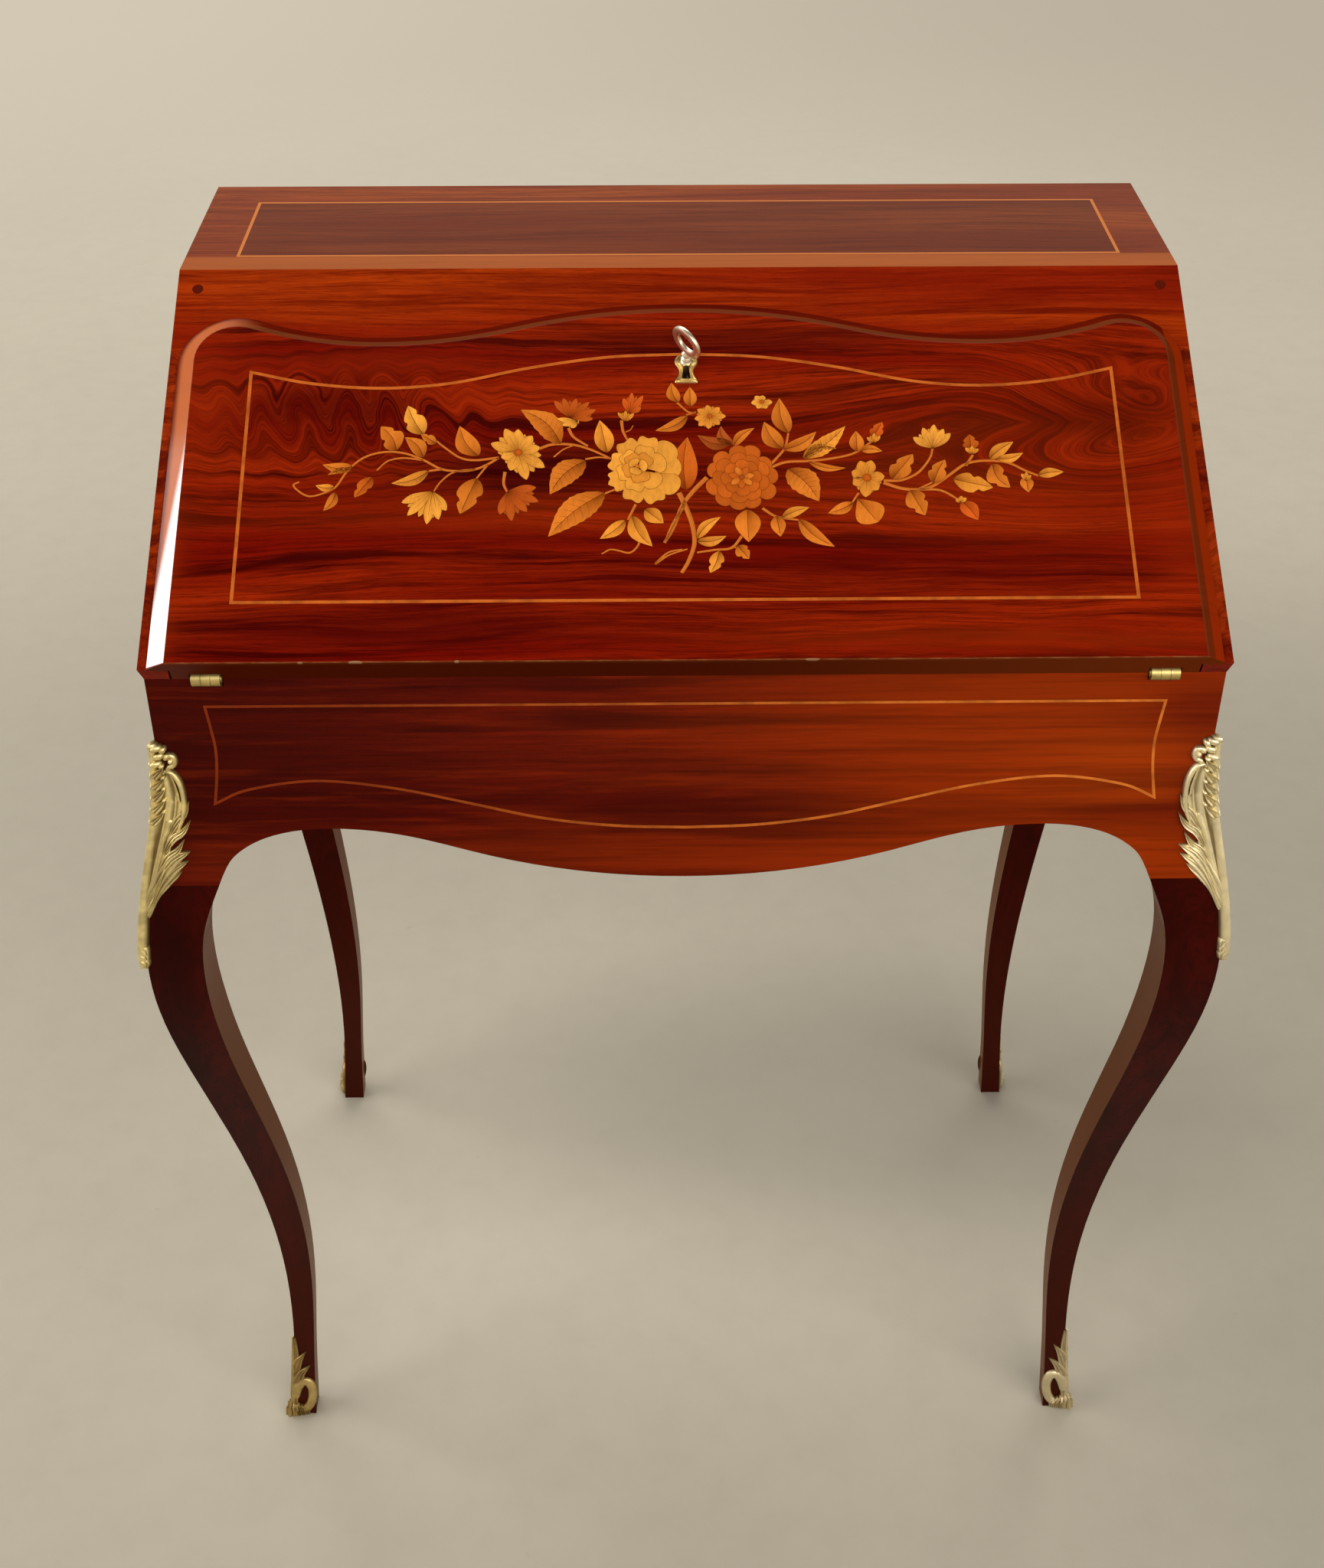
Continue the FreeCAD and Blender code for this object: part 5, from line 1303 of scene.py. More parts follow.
class Corner:
    """Places points on a leg's outer corner: across a face, up, and out."""

    def __init__(self, leg):
        self.side = -1 if "left" in leg else 1
        self.end = -1 if "front" in leg else 1
        finder = SurfaceFinder([leg])
        self.table = []
        inset, step, far = 3.0, 2.0, 900.0
        offset, height = 0.0, KNEE_TOP
        while height > 0.5:
            x = self.side * (BASE_HALF_WIDTH + offset - inset)
            hit = finder.cast((x, self.end * far, height), (0, -self.end, 0))
            if hit is not None:
                offset = self.end * (hit.y - BASE_MIDDLE) - BASE_HALF_DEPTH
            self.table.append((height, offset))
            height -= step
        self.table.reverse()

    def offset(self, z):
        """How far the corner stands out from the base's own corner."""
        table = self.table
        if z <= table[0][0]:
            return table[0][1]
        for (z0, a), (z1, b) in zip(table, table[1:]):
            if z <= z1:
                return a + (b - a) * (z - z0) / (z1 - z0)
        return table[-1][1]

    def place(self, w, z, h):
        """w runs across the front from the corner; below zero it is the side."""
        round_over, softening = 4.0, 0.22
        stand = self.offset(z)
        near = max(0.0, 1.0 - abs(w) / round_over)
        h = h * (1.0 - softening * near * near)
        out_a = BASE_HALF_WIDTH + stand
        out_b = BASE_HALF_DEPTH + stand
        if w >= 0:
            a, b = out_a - w + h * near, out_b + h
        else:
            a, b = out_a + h, out_b + w + h * near
        return Vector((self.side * a, BASE_MIDDLE + self.end * b, z)) * MM


class Casting:
    """Gathers carved leaves, ribs and beads into one gilt mesh."""

    thinnest = 0.3
    under_skin = -0.35

    def __init__(self, corner, crown, crown_width):
        self.corner = corner
        self.crown, self.crown_width = crown, crown_width
        self.verts, self.faces, self.shades = [], [], []

    def shell(self, rows):
        """Rows of (w, z, h, shade) across a form, closed underneath."""
        start, count, across = len(self.verts), len(rows), len(rows[0])
        under = start + count * across
        for row in rows:
            for w, z, h, shade in row:
                rise = self.crown * math.exp(-(w / self.crown_width) ** 2)
                self.verts.append(self.corner.place(w, z, h + rise))
                self.shades.append((shade, shade, shade))
        for row in rows:
            for w, z, _, _ in row:
                self.verts.append(self.corner.place(w, z, self.under_skin))
                self.shades.append((0.1, 0.1, 0.1))

        def wall(*cells):
            a, b = (r * across + c for r, c in cells)
            self.faces.append((start + a, start + b, under + b, under + a))

        for r in range(count - 1):
            for c in range(across - 1):
                a = r * across + c
                b = a + across
                self.faces.append((start + a, start + a + 1, start + b + 1, start + b))
                self.faces.append((under + a, under + b, under + b + 1, under + a + 1))
            for c in (0, across - 1):
                wall((r, c), (r + 1, c))
        for r in (0, count - 1):
            for c in range(across - 1):
                wall((r, c), (r, c + 1))

    def leaf(self, path, widths, high, base=0.0, rib=0.3, low=0.6, steps=8):
        """An acanthus blade: a rib, hollow flanks and raised edges."""
        across, rib_width, edge_rise, ripple, edge_share = 6, 0.2, 0.5, 0.1, 0.72
        line = smooth_line(path, steps)
        spread = smooth_line([(x,) for x in widths], steps)
        rows = []
        for k, ((w, z), normal, (half,)) in enumerate(zip(line, side_normals(line), spread)):
            half = max(0.12, half)
            t = k / (len(line) - 1)
            taper = min(1.0, 0.45 + 3.2 * min(t, 1 - t))
            row = []
            for j in range(-across, across + 1):
                v = j / across
                spine = math.exp(-(v / rib_width) ** 2) * rib
                wave = ripple * math.cos(3 * math.pi * v)
                profile = low + spine + edge_rise * abs(v) ** 1.5 + wave
                lift = high * profile * (edge_share if abs(j) == across else 1.0)
                shade = min(1.0, 0.22 + 0.62 * (profile - low + 0.25))
                row.append((w + normal.x * half * v, z + normal.y * half * v,
                            base + max(self.thinnest, lift * taper), shade))
            rows.append(row)
        self.shell(rows)

    def sail(self, edge, high, flutes, flip):
        """A broad fluted leaf from the corner to an edge of (height, reach)."""
        spacing, ribs = 1.2, 16
        line = []
        for (z0, r0), (z1, r1) in zip(edge, edge[1:]):
            steps = max(2, round(abs(z1 - z0) / spacing))
            line += [(z0 + (z1 - z0) * k / steps, r0 + (r1 - r0) * k / steps) for k in range(steps)]
        line.append(edge[-1])
        rows = []
        for k, (z, reach) in enumerate(line):
            t = k / (len(line) - 1)
            taper = min(1.0, 0.3 + 6.0 * min(t, 1 - t))
            row = []
            for j in range(ribs + 1):
                v = j / ribs
                groove = math.cos(math.tau * flutes * v ** 0.9)
                height = high * (0.62 + 0.26 * groove + 0.22 * v ** 3)
                row.append((flip * v * reach, z, max(self.thinnest, height * taper),
                            0.52 + 0.36 * groove + 0.25 * v ** 3))
            rows.append(row)
        self.shell(rows)

    def rod(self, path, sizes, high, steps=5):
        """A rounded rib or scroll that lies on the wood."""
        full_size, sides = 1.6, 8
        line = smooth_line(path, steps)
        spread = smooth_line([(x,) for x in sizes], steps)
        rows = []
        for (w, z), normal, (half,) in zip(line, side_normals(line), spread):
            half = max(0.1, half)
            row = []
            for j in range(sides + 1):
                turn = math.pi * j / sides
                reach = half * math.cos(turn)
                row.append((w + normal.x * reach, z + normal.y * reach,
                            0.35 + high * min(1.0, half / full_size) * math.sin(turn) ** 0.8,
                            0.3 + 0.7 * math.sin(turn)))
            rows.append(row)
        self.shell(rows)

    def bead(self, w, z, wide, tall, high, turn=0.0):
        """A small domed knob."""
        steps, sides = 5, 12
        cos, sin = math.cos(turn), math.sin(turn)
        rows = []
        for r in range(steps + 1):
            reach = r / steps
            dome = math.sqrt(max(0.0, 1 - reach ** 2))
            row = []
            for k in range(sides + 1):
                angle = k * math.tau / sides
                a, b = wide * reach * math.cos(angle), tall * reach * math.sin(angle)
                row.append((w + a * cos - b * sin, z + a * sin + b * cos,
                            self.thinnest + high * dome, 0.25 + 0.75 * dome))
            rows.append(row)
        self.shell(rows)

    def finish(self, name, node, material):
        piece = make_piece(name, self.verts, self.faces, "desk", "gilt_bronze", material, 50.0)
        paint_points(piece, "Shade", self.shades)
        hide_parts(node)


def sided(points, flip, tall=1.0):
    """Points on one face of the corner or, with flip -1, on the other."""
    return [(flip * w, z * tall) for w, z in points]


def corner_mount(corner):
    """The knee mount: tail, fan leaf, tall leaf with a scroll, and a curled crown."""
    cast = Casting(corner, 2.3, 4.6)
    for flip in (1, -1):
        for path, widths, high, base in KNEE_FAN:
            cast.leaf(sided(path, flip), widths, high, base)
        cast.sail(TALL_LEAF_EDGE, 2.9, 2.0, flip)
        for (w, z), tip in KNEE_LOBES:
            bow = ((w + tip[0]) / 2 + 1.0, (z + tip[1]) / 2 - 1.4)
            path = ((w - 4.6, z - 11.0), (w, z), bow, tip)
            cast.leaf(sided(path, flip), (1.2, 2.9, 2.5, 0.05), 2.1, 1.5, steps=7)
        for path, sizes, high in KNEE_SCROLLS:
            cast.rod(sided(path, flip), sizes, high)
        cast.bead(flip * 9.2, 714.8, 2.3, 2.6, 4.2)
        for k in range(5):
            z = 668.0 + 8.8 * k
            path = ((0.4, z - 2.0), (1.8, z + 2.4), (4.4, z + 9.0))
            cast.leaf(sided(path, flip), (1.3, 1.7, 0.1), 2.6, 1.5, low=0.7, steps=5)
            cast.bead(flip * (4.5 - 0.2 * k), z + 8.4, 1.5, 2.1, 3.7, -0.4 * flip)
        for k, (w, z) in enumerate(KNEE_CROWN_BEADS):
            cast.bead(flip * w, z, 2.4, 3.2, 3.2 + 0.2 * k, -0.5 * flip)
        for k in range(3):
            z = 571.0 - 5.2 * k
            path = ((0.2, z + 2.0), (1.6, z - 1.6), (3.0 - 0.5 * k, z - 6.6))
            cast.leaf(sided(path, flip), (1.6, 1.6, 0.1), 2.6, 0.8, 0.45, 0.5, 5)
    spine = [(0.0, z) for z in (724.0, 700.0, 660.0, 630.0, 600.0, 575.0, 554.0)]
    cast.rod(spine, (1.2, 1.8, 2.0, 2.2, 2.5, 2.5, 1.0), 3.6, 8)
    cast.bead(0.0, 727.0, 2.4, 3.0, 3.4)
    return cast


def foot_sabot(corner):
    """The foot mount: a pointed blade, side leaves, an open C-scroll and a toe."""
    tall = 0.95
    cast = Casting(corner, 1.0, 4.0)
    for flip in (1, -1):
        for path, widths, high, base in SABOT_LEAVES:
            cast.leaf(sided(path, flip, tall), widths, high, base)
        path, sizes, high = SABOT_SCROLL
        cast.rod(sided(path, flip, tall), sizes, high)
        path = ((1.0, 12.0), (1.4, 26.0), (1.8, 40.0), (1.8, 54.0))
        cast.leaf(sided(path, flip, tall), (2.0, 2.3, 2.2, 0.6), 1.7, 0.3, steps=6)
        for k in range(4):
            w = 0.9 + 3.3 * k
            path = ((w * 0.7, 17.0 - 2.0 * k), (w, 8.4), (w * 1.15, 0.8))
            cast.leaf(sided(path, flip, tall), (1.2, 2.1, 1.5), 4.6 - 0.6 * k, 0.8, 0.6, 0.7, 6)
    spine = [(0.0, z) for z in (94.0, 70.0, 46.0, 22.0, 2.2)]
    cast.rod(spine, (0.5, 1.3, 1.6, 1.8, 2.4), 2.4, 8)
    return cast


# Key and its plate

KEY_X = 3.0
KEY_TURN = math.radians(-48.0)
PLATE_TOP = 8.0

# Across the plate's right half, from its top to its foot.
PLATE_EDGE = (
    (0.0, 7.9), (3.6, 7.6), (6.6, 5.6), (7.9, 2.4), (7.7, -0.6), (6.0, -3.4), (5.0, -6.4), (5.3, -9.6),
    (6.4, -12.4), (7.8, -14.6), (7.7, -16.0), (5.6, -16.5), (0.0, -16.5),
)
KEYHOLE_EDGE = (
    (0.0, 3.4), (1.7, 2.9), (2.9, 1.7), (3.4, 0.0), (2.8, -1.9), (1.9, -3.0), (2.3, -6.2), (2.7, -9.4),
    (3.1, -12.5), (1.5, -12.55), (0.0, -12.55),
)
# The plate's section: share of the way to the keyhole, height over the lid.
PLATE_SECTION = (
    (0.0, -0.3), (0.0, 0.9), (0.12, 1.55), (0.34, 1.5), (0.5, 0.85), (0.86, 0.8), (1.0, 0.6), (1.0, -5.0),
)
# The key's turned neck: place along it, radius.
NECK_PROFILE = (
    (-8.0, 2.4), (9.6, 2.4), (10.95, 2.4), (11.1, 3.6), (12.0, 4.0), (13.2, 3.9), (14.0, 3.0),
    (14.6, 2.8), (15.2, 3.5), (16.4, 3.9), (17.6, 3.3), (18.4, 2.5), (19.4, 2.5), (20.4, 3.2),
    (21.6, 3.6), (23.0, 2.9), (24.6, 1.6),
)


def key_reach():
    """How far up the slope the keyhole's centre is, from its plate's box."""
    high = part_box("escutcheon")[1].y / MM
    face = LID_FACE * math.sin(SLOPE_ANGLE)
    return (high - SLOPE_Y + face) / math.cos(SLOPE_ANGLE) - PLATE_TOP


def lofted(rings, closed_ends=True):
    """The vertices of rings of the same count, and the faces that join them."""
    verts = [v for ring in rings for v in ring]
    count = len(rings[0])
    faces = []
    for r in range(len(rings) - 1):
        for k in range(count):
            a, b = r * count + k, r * count + (k + 1) % count
            faces.append((a, b, b + count, a + count))
    if closed_ends:
        faces += [tuple(range(count - 1, -1, -1)), tuple(range(len(verts) - count, len(verts)))]
    return verts, faces


def key_plate(metal):
    """The keyhole plate: a waisted outline with a raised, rounded rim."""
    reach = key_reach()
    outer = smooth_line(PLATE_EDGE, 4)
    length = sum(math.dist(a, b) for a, b in zip(KEYHOLE_EDGE, KEYHOLE_EDGE[1:]))
    hole = even_line(KEYHOLE_EDGE, length / 24)
    edge = [outer[round(k * (len(outer) - 1) / (len(hole) - 1))] for k in range(len(hole))]
    rings = []
    for share, h in PLATE_SECTION:
        half = [tuple(p + (q - p) * share for p, q in zip(a, b)) for a, b in zip(edge, hole)]
        rings.append([slope_place(KEY_X + x, reach + y, LID_FACE + h) for x, y in mirrored(half)])
    piece = make_piece("keyhole_plate", *lofted(rings, False), "lid", "hinge_brass", metal, 40.0)
    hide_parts("escutcheon")


def rounded(turn, size):
    """Cosine and sine of a turn, made squarer and given a size each."""
    return [math.copysign(abs(v) ** 0.7, v) * s for v, s in zip((math.cos(turn), math.sin(turn)), size)]


def key_bow(place):
    """The flat oval ring that the fingers turn."""
    sides, around_band = 48, 12
    middle, wide, tall, half_thick = 33.9, 10.5, 9.3, 1.8
    loops = []
    for k in range(sides):
        turn = k * math.tau / sides
        band = 2.85 + 0.35 * math.sin(turn) ** 2
        loop = []
        for j in range(around_band):
            out, thick = rounded(j * math.tau / around_band, (band, half_thick))
            loop.append(place((wide + out) * math.cos(turn), thick, middle + (tall + out) * math.sin(turn)))
        loops.append(loop)
    return lofted(loops + [loops[0]], False)


def key_bit(place):
    """The flat bit at the neck's inner end."""
    length, half_thick, ends = 8.2, 1.1, (-6.6, -3.4)
    corners = ((0.0, -half_thick), (length, -half_thick), (length, half_thick), (0.0, half_thick))
    return lofted([[place(u, t, n) for u, t in corners] for n in ends])


def turned_key(metal):
    """The key: a flat oval bow with rounded edges on a turned neck."""
    sides = 20
    reach = key_reach()
    cos, sin = math.cos(KEY_TURN), math.sin(KEY_TURN)

    def place(u, t, n):
        return slope_place(KEY_X + u * cos - t * sin, reach + u * sin + t * cos, n)

    neck = [[place(*around((0.0, 0.0), radius, k * math.tau / sides), n) for k in range(sides)]
            for n, radius in NECK_PROFILE]
    verts, faces = [], []
    for more_verts, more_faces in (lofted(neck), key_bow(place), key_bit(place)):
        faces += [tuple(len(verts) + i for i in face) for face in more_faces]
        verts += more_verts
    piece = make_piece("turned_key", verts, faces, body_of("key"), "key_metal", metal, 40.0)
    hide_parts("key")


# Settings

def line_width(name, description, default):
    return bpy.props.FloatProperty(
        name=name, description=description, default=default, min=0.0005, max=0.008,
        subtype="DISTANCE", unit="LENGTH")


def screen_colour(name, description, default):
    return bpy.props.FloatVectorProperty(
        name=name, description=description + ", 0 to 255", default=default, size=3)


class DeskSettings(bpy.types.PropertyGroup):
    """The widths, colours and light that a user would change"""
    stringing_width: line_width(
        "Stringing width", "Width of the inlaid lines on lid and apron", 0.0023)
    top_stringing_width: line_width(
        "Top stringing width", "Width of the inlaid line on the top board", 0.0022)
    gilt_line_width: line_width(
        "Gilt line width", "Width of the tooled line on the leathers", 0.0022)
    stringing_colour: screen_colour(
        "Stringing colour", "Screen colour of the pale stringing wood", (188.0, 94.0, 34.0))
    gilt_colour: screen_colour(
        "Gilt colour", "Screen colour of the gilt on the mounts", (253.0, 234.0, 170.0))
    floor_colour: screen_colour(
        "Floor colour", "Screen colour of the studio floor", (182.0, 174.0, 157.0))
    light_level: bpy.props.FloatProperty(
        name="Light level", description="Multiplies every lamp and the room light",
        default=1.0, min=0.0, max=10.0)
    variation_seed: bpy.props.IntProperty(
        name="Variation", description="Picks another set of small differences between inlay pieces",
        default=7, min=0)


def settings():
    return bpy.context.scene.desk_settings


# Steps

# Veneers: name, light, middle and dark tones, the nodes, and how the figure runs.
VENEERS = (
    ("Veneer of the slope rail", ((160, 52, 6), (132, 28, 4), (82, 4, 1)), ("slope_rail",),
     {"lines": 80.0, "warp": 0.8, "seed": 0.6, "streaks": 0.6, "fine_lines": 0.3}),
    ("Veneer of the sides", ((158, 52, 10), (122, 28, 6), (70, 6, 3)), ("left_side", "right_side"),
     {"along": "YZ", "lines": 70.0, "warp": 1.2, "seed": 1.1}),
    ("Veneer of the top board", ((150, 66, 20), (126, 44, 12), (84, 18, 5)), ("top_board",),
     {"lines": 75.0, "warp": 1.0, "seed": 2.6, "streaks": 0.5, "finish": top_lines}),
    ("Veneer of the lid", LID_WOOD, ("lid_panel",),
     {"along": "LID", "warp": 1.3, "flow": lid_flow, "finish": lid_tones}),
    ("Veneer of the front apron", APRON_WOOD, ("front_apron",),
     {"along": "XZ", "lines": 60.0, "warp": 1.0, "seed": 0.3, "streaks": 0.7, "fine_lines": 0.3,
      "finish": left_to_right}),
    ("Veneer of the back", ((128, 38, 8), (104, 26, 6), (60, 8, 4)), ("back_apron",),
     {"along": "XZ", "lines": 60.0, "seed": 3.0}),
    ("Veneer of the side aprons", ((132, 36, 6), (108, 22, 5), (58, 4, 3)), ("left_apron", "right_apron"),
     {"along": "YZ", "lines": 65.0, "warp": 1.1, "seed": 3.7}),
    ("Plain wood of the back panel", ((138, 58, 22), (112, 40, 14), (66, 16, 6)), ("back_panel",),
     {"lines": 60.0, "warp": 1.2, "seed": 5.2, "streaks": 0.5, "fine_lines": 0.3, "gloss": 0.3}),
    ("Veneer of the writing board", ((150, 56, 16), (124, 36, 8), (72, 10, 4)), ("writing_board",),
     {"lines": 65.0, "warp": 1.2, "seed": 4.4, "gloss": 0.2}),
)
# Woods of the inside: name, light and dark tone, direction of the grain and the nodes.
INNER_WOODS = (
    ("Inner wood along the shelf", (168, 92, 46), (122, 58, 26), "X", ("pigeonhole_shelf",)),
    ("Inner wood of the dividers", (164, 90, 46), (118, 56, 26), "Z",
     ("left_drawer_divider", "right_drawer_divider", "left_pigeonhole_divider", "right_pigeonhole_divider")),
    ("Inner wood of the drawers", (186, 120, 70), (146, 86, 46), "Y",
     ("board_battens", "left_drawer_box", "middle_drawer_box", "right_drawer_box")),
    ("Drawer front wood", (156, 72, 30), (112, 44, 16), "X",
     ("left_drawer_front", "middle_drawer_front", "right_drawer_front")),
)
# Plain metals: name, bright and dark tone, gloss, fineness of its marks and the nodes.
METALS = (
    ("Dull hinge brass", (204, 182, 116), (96, 72, 30), 0.34, 500.0,
     [end + part for end in ("left", "right")
      for part in ("_hinge_base_leaf", "_hinge_lid_leaf", "_hinge_pin")]),
    ("Polished lock brass", (222, 184, 104), (150, 108, 44), 0.26, 700.0,
     ("strike_plate", "left_drawer_knob", "middle_drawer_knob", "right_drawer_knob")),
    ("Filed steel", (150, 148, 142), (84, 80, 76), 0.34, 700.0,
     ("base_hinge_screws", "lid_hinge_screws", "lock_screws", "lock_case", "lock_bolt")),
)


class DESK_OT_finish_wood(bpy.types.Operator):
    """Gives every board, apron and leg its veneer or solid wood"""
    bl_idname = "desk.finish_wood"
    bl_label = "Finish the wood"

    def execute(self, context):
        for name, tones, nodes, ways in VENEERS:
            dress_nodes(veneer(name, tones, **ways), *nodes)
        dress_nodes(leg_wood("Wood of the front legs", True), "front_left_leg", "front_right_leg")
        dress_nodes(leg_wood("Wood of the back legs", False), "back_left_leg", "back_right_leg")
        dress_nodes(flat_tone("Dark plug wood", (92, 20, 5)), "rail_screw_plugs")
        return {"FINISHED"}


def lid_leather_place():
    """The lid leather's half width, its two ends up the slope, and its face."""
    low, high = (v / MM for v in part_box("lid_leather"))
    sin, cos = math.sin(SLOPE_ANGLE), math.cos(SLOPE_ANGLE)
    along, above = high.y - SLOPE_Y, high.z - SLOPE_Z - LEATHER_DEPTH * cos
    face = above * cos - along * sin
    return high.x, (low.z - SLOPE_Z - face * cos) / sin, along * cos + above * sin, face


def tooled_lines(prefix, low, high, place, body, metal):
    """Two gilt lines inside the edge of a leather, from its opposite corners."""
    width = settings().gilt_line_width / MM
    for name, inset, share in (("outer", 9.0, 1.0), ("inner", 13.5, 0.45)):
        left, foot = low[0] + inset, low[1] + inset
        right, head = high[0] - inset, high[1] - inset
        corners = [(left, foot), (right, foot), (right, head), (left, head)]
        ribbon(prefix + name, corners, width * share, place, body, "gilt_bronze", metal, 0.05, 0.2)


class DESK_OT_line_inside(bpy.types.Operator):
    """Finishes the inside: plain wood, leather and its gilt tooled line"""
    bl_idname = "desk.line_inside"
    bl_label = "Line the inside"

    def execute(self, context):
        for name, light, dark, along, nodes in INNER_WOODS:
            dress_nodes(inner_wood(name, light, dark, along), *nodes)
        dress_nodes(leather("Writing leather"), "board_leather", "lid_leather")
        gold = gilt("Gilt tooling", (214, 176, 92), (150, 104, 44), 0.34)
        low, high = (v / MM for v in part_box("board_leather"))
        tooled_lines("board_gilt_", low, high, lambda a, b, h: Vector((a, b, high.z + h)) * MM,
                     "desk", gold)
        across, foot, head, face = lid_leather_place()
        tooled_lines("lid_gilt_", (-across, foot), (across, head),
                     lambda a, b, h: slope_place(a, b, face - h), "lid", gold)
        return {"FINISHED"}


class DESK_OT_inlay_stringing(bpy.types.Operator):
    """Lets pale stringing into the lid and the front apron"""
    bl_idname = "desk.inlay_stringing"
    bl_label = "Inlay the stringing"

    def execute(self, context):
        far, apron_share = 900.0, 0.84
        width = settings().stringing_width / MM
        ribbon("lid_stringing", even_line(lid_string_line(), 12.0), width,
               lambda a, b, h: slope_place(a, b, LID_FACE + h), "lid", "veneer",
               line_wood("Stringing wood", settings().stringing_colour))
        finder = SurfaceFinder(["front_apron", "front_left_leg", "front_right_leg"])

        def on_front(x, z, out):
            hit = finder.cast((x, -far, z), (0, 1, 0))
            if hit is None:
                raise RuntimeError("the apron stringing runs off the wood")
            return Vector((x, hit.y - out, z)) * MM

        ribbon("apron_stringing", even_line(apron_string_line(), 5.0), width * apron_share,
               on_front, "desk", "veneer",
               line_wood("Apron stringing wood", (210, 116, 44), (124, 44, 14)))
        return {"FINISHED"}


class DESK_OT_inlay_marquetry(bpy.types.Operator):
    """Cuts the spray of flowers into the lid, piece by piece"""
    bl_idname = "desk.inlay_marquetry"
    bl_label = "Inlay the marquetry"

    def execute(self, context):
        rng = random.Random(settings().variation_seed)
        wood = InlaySheet("marquetry_leaves", inlay_wood("Marquetry wood"))
        cut = InlaySheet("marquetry_cut_lines", flat_tone("Dark cut lines", (104, 38, 11)))
        stems = InlaySheet("marquetry_stems", inlay_wood("Stem wood", 0.9))
        add_spray((wood, cut), stems, rng)
        add_roses((wood, cut), rng)
        for sheet in (cut, wood, stems):
            sheet.finish()
        return {"FINISHED"}


class DESK_OT_cast_corner_mounts(bpy.types.Operator):
    """Casts the two acanthus mounts on the front knees"""
    bl_idname = "desk.cast_corner_mounts"
    bl_label = "Cast the corner mounts"

    def execute(self, context):
        gold = gilt("Gilt bronze", settings().gilt_colour, (104, 78, 34), 0.3, True)
        for end in ("left", "right"):
            cast = corner_mount(Corner("front_" + end + "_leg"))
            cast.finish("corner_mount_" + end, end + "_corner_mount", gold)
        return {"FINISHED"}


class DESK_OT_cast_sabots(bpy.types.Operator):
    """Casts the sabots on the four feet"""
    bl_idname = "desk.cast_sabots"
    bl_label = "Cast the sabots"

    def execute(self, context):
        # The feet's gilt has darker tones than the knee mounts'.
        gold = gilt("Darker gilt of the feet", (214, 188, 124), (104, 78, 36), 0.32, True)
        for foot in ("front_left", "front_right", "back_left", "back_right"):
            foot_sabot(Corner(foot + "_leg")).finish("sabot_" + foot, foot + "_sabot", gold)
        return {"FINISHED"}


class DESK_OT_finish_metal(bpy.types.Operator):
    """Finishes the hinges, the lock, its key and the drawer knobs"""
    bl_idname = "desk.finish_metal"
    bl_label = "Finish the metal"

    def execute(self, context):
        for name, light, dark, gloss, grain, nodes in METALS:
            dress_nodes(gilt(name, light, dark, gloss, grain=grain), *nodes)
        key_plate(gilt("Keyhole plate brass", (246, 216, 140), (150, 112, 50), 0.24))
        turned_key(gilt("Nickelled key", (252, 240, 214), (190, 168, 136), 0.24))
        return {"FINISHED"}


# Stage

# Metres. Lamps: name, place, target, width and height, power and colour.
LAMPS = (
    ("window_lamp", (-3.1, -0.4, 2.25), (0.0, -0.65, 0.6), (3.0, 2.6), 90.0, (1.0, 0.98, 0.95)),
    ("front_lamp", (1.95, -2.9, 2.6), (0.0, 0.0, 0.5), (3.3, 1.3), 86.0, (1.0, 0.97, 0.92)),
    ("high_lamp", (-0.2, -2.6, 3.0), (0.0, 0.0, 0.6), (2.4, 1.4), 28.0, (1.0, 1.0, 1.0)),
    ("back_lamp", (0.0, 3.2, 4.4), (0.0, 3.4, 0.0), (5.0, 3.2), 215.0, (1.0, 0.98, 0.95)),
)
CAMERA_PLACE = (-0.0303, -1.3749, 1.5126)
CAMERA_TILT = math.radians(90.0 - 35.46)
CAMERA_SWING = math.radians(-0.70)
CAMERA_LENS = 47.51


def place_lamp(scene, name, place, target, size, power, colour):
    lamp = bpy.data.lights.new(name, "AREA")
    lamp.shape = "RECTANGLE"
    lamp.size, lamp.size_y = size
    lamp.energy = power * settings().light_level
    lamp.color = colour
    item = bpy.data.objects.new(name, lamp)
    item.location = place
    item.rotation_euler = (Vector(target) - Vector(place)).to_track_quat("-Z", "Y").to_euler()
    scene.collection.objects.link(item)


def place_floor(scene):
    """A wide floor, just below the feet."""
    half, level = 7.0, -0.0002
    corners = [(x * half, y * half, level) for x, y in ((-1, -1), (1, -1), (1, 1), (-1, 1))]
    mesh = bpy.data.meshes.new("studio_floor")
    mesh.from_pydata(corners, [], [(0, 1, 2, 3)])
    mesh.materials.append(floor_paper("Studio floor", settings().floor_colour))
    floor = bpy.data.objects.new("studio_floor", mesh)
    scene.collection.objects.link(floor)


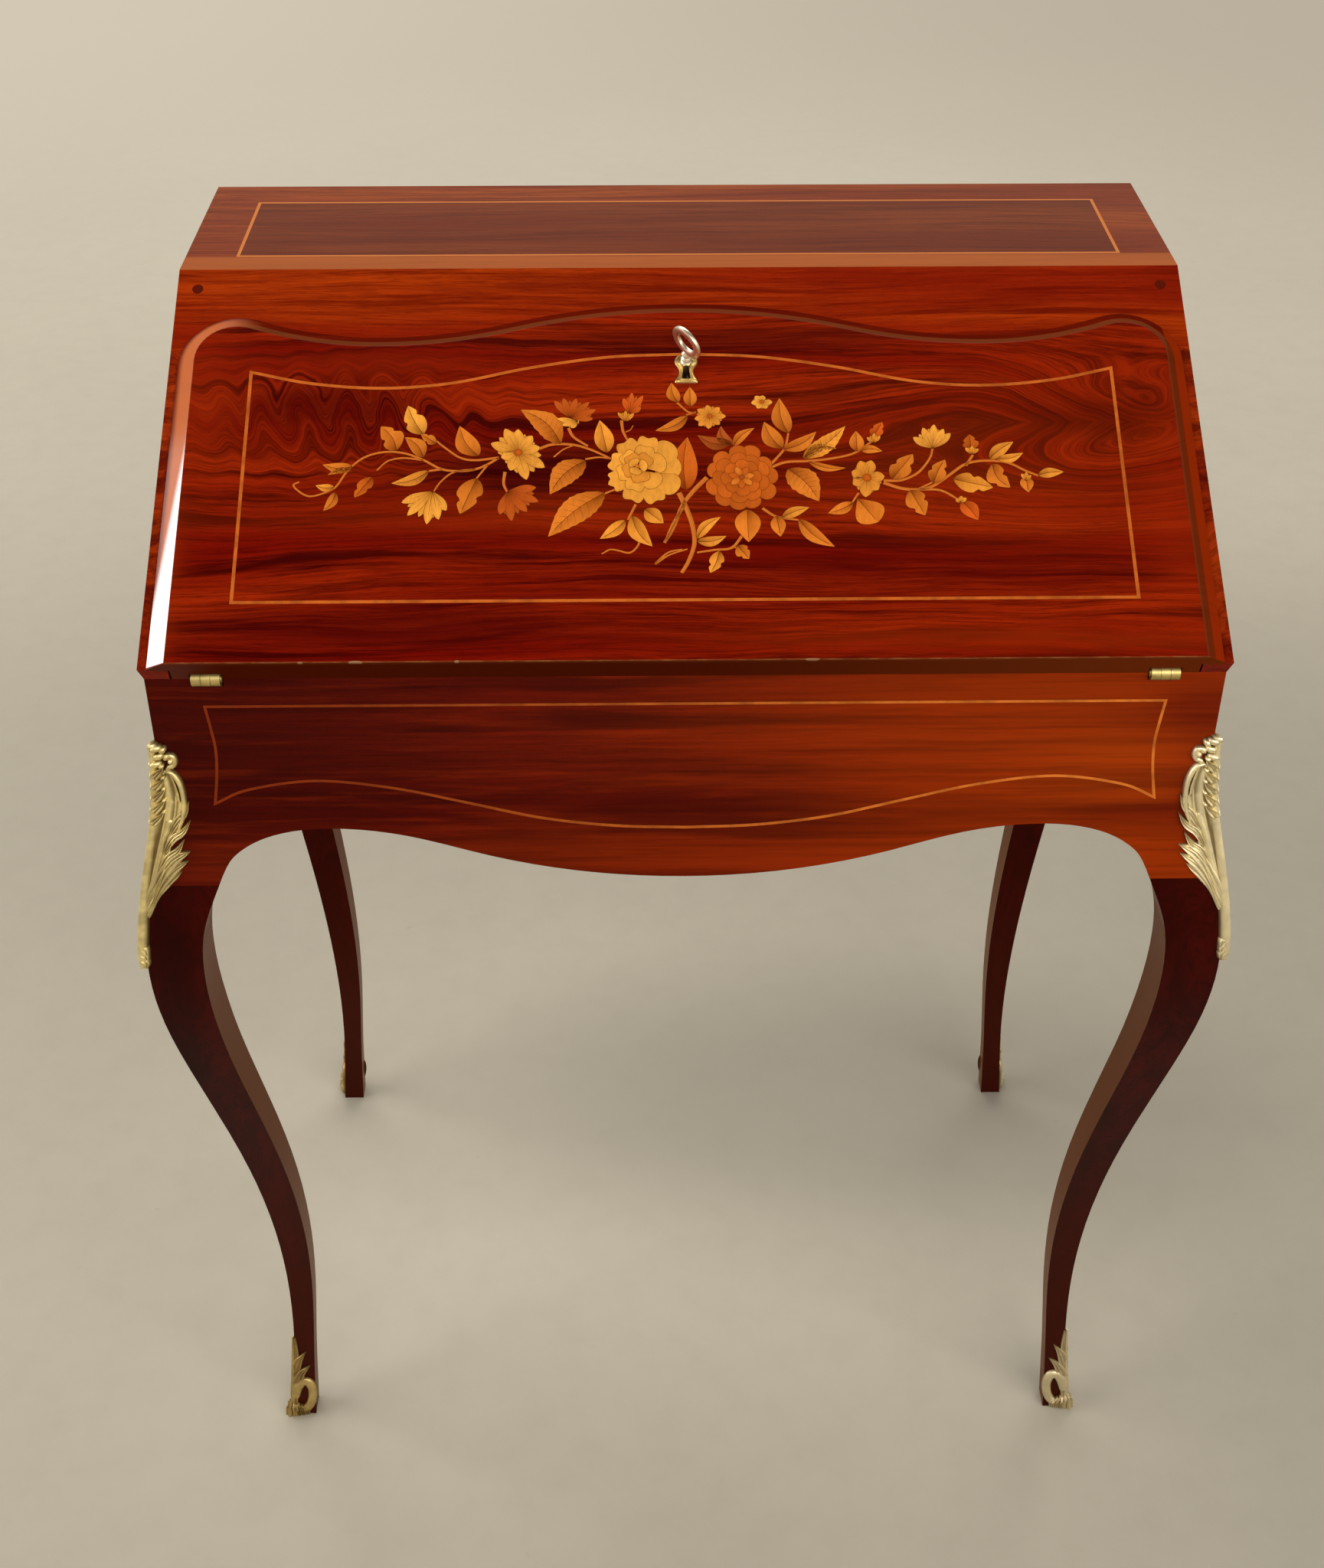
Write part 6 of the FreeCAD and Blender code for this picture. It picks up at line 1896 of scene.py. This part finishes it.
def light_room(scene):
    """A room that is pale near the floor and dark overhead."""
    dark_room = (0.03, 0.03, 0.034)
    world = bpy.data.worlds.new("Studio room")
    world.use_nodes = True
    scene.world = world
    back = world.node_tree.nodes["Background"]
    direction = world.node_tree.nodes.new("ShaderNodeTexCoord").outputs["Generated"]
    up = split(Field(direction))[2]
    put(back.inputs["Color"], blend(ramp(up, 0.16, 0.62), linear(BACKDROP), dark_room))
    back.inputs["Strength"].default_value = settings().light_level


def place_camera(scene):
    lens = bpy.data.cameras.new("photo_camera")
    lens.sensor_width = 36.0
    lens.sensor_fit = "AUTO"
    lens.lens = CAMERA_LENS
    lens.clip_start, lens.clip_end = 0.02, 60.0
    eye = bpy.data.objects.new("photo_camera", lens)
    eye.location = CAMERA_PLACE
    eye.rotation_euler = (CAMERA_TILT, 0.0, CAMERA_SWING)
    scene.collection.objects.link(eye)
    scene.camera = eye
    scene.view_settings.view_transform = "Standard"


class DESK_OT_set_stage(bpy.types.Operator):
    """Sets the floor, the soft lights and the camera"""
    bl_idname = "desk.set_stage"
    bl_label = "Set the stage"

    def execute(self, context):
        place_floor(context.scene)
        for lamp in LAMPS:
            place_lamp(context.scene, *lamp)
        light_room(context.scene)
        place_camera(context.scene)
        return {"FINISHED"}


class DESK_PT_panel(bpy.types.Panel):
    """Steps that dress the desk, in order"""
    bl_idname = "DESK_PT_panel"
    bl_label = "Slant-front desk"
    bl_space_type = "VIEW_3D"
    bl_region_type = "UI"
    bl_category = "Desk"

    def draw(self, context):
        for name in DeskSettings.__annotations__:
            self.layout.prop(context.scene.desk_settings, name)
        for step in STEPS:
            self.layout.operator(step.bl_idname)


STEPS = (
    DESK_OT_finish_wood,
    DESK_OT_line_inside,
    DESK_OT_inlay_stringing,
    DESK_OT_inlay_marquetry,
    DESK_OT_cast_corner_mounts,
    DESK_OT_cast_sabots,
    DESK_OT_finish_metal,
    DESK_OT_set_stage,
)
CLASSES = (DeskSettings, *STEPS, DESK_PT_panel)


def register():
    for item in CLASSES:
        bpy.utils.register_class(item)
    bpy.types.Scene.desk_settings = bpy.props.PointerProperty(type=DeskSettings)


def unregister():
    del bpy.types.Scene.desk_settings
    for item in reversed(CLASSES):
        bpy.utils.unregister_class(item)


def main():
    register()
    for step in STEPS:
        group, name = step.bl_idname.split(".")
        getattr(getattr(bpy.ops, group), name)()


if __name__ == "__main__":
    main()
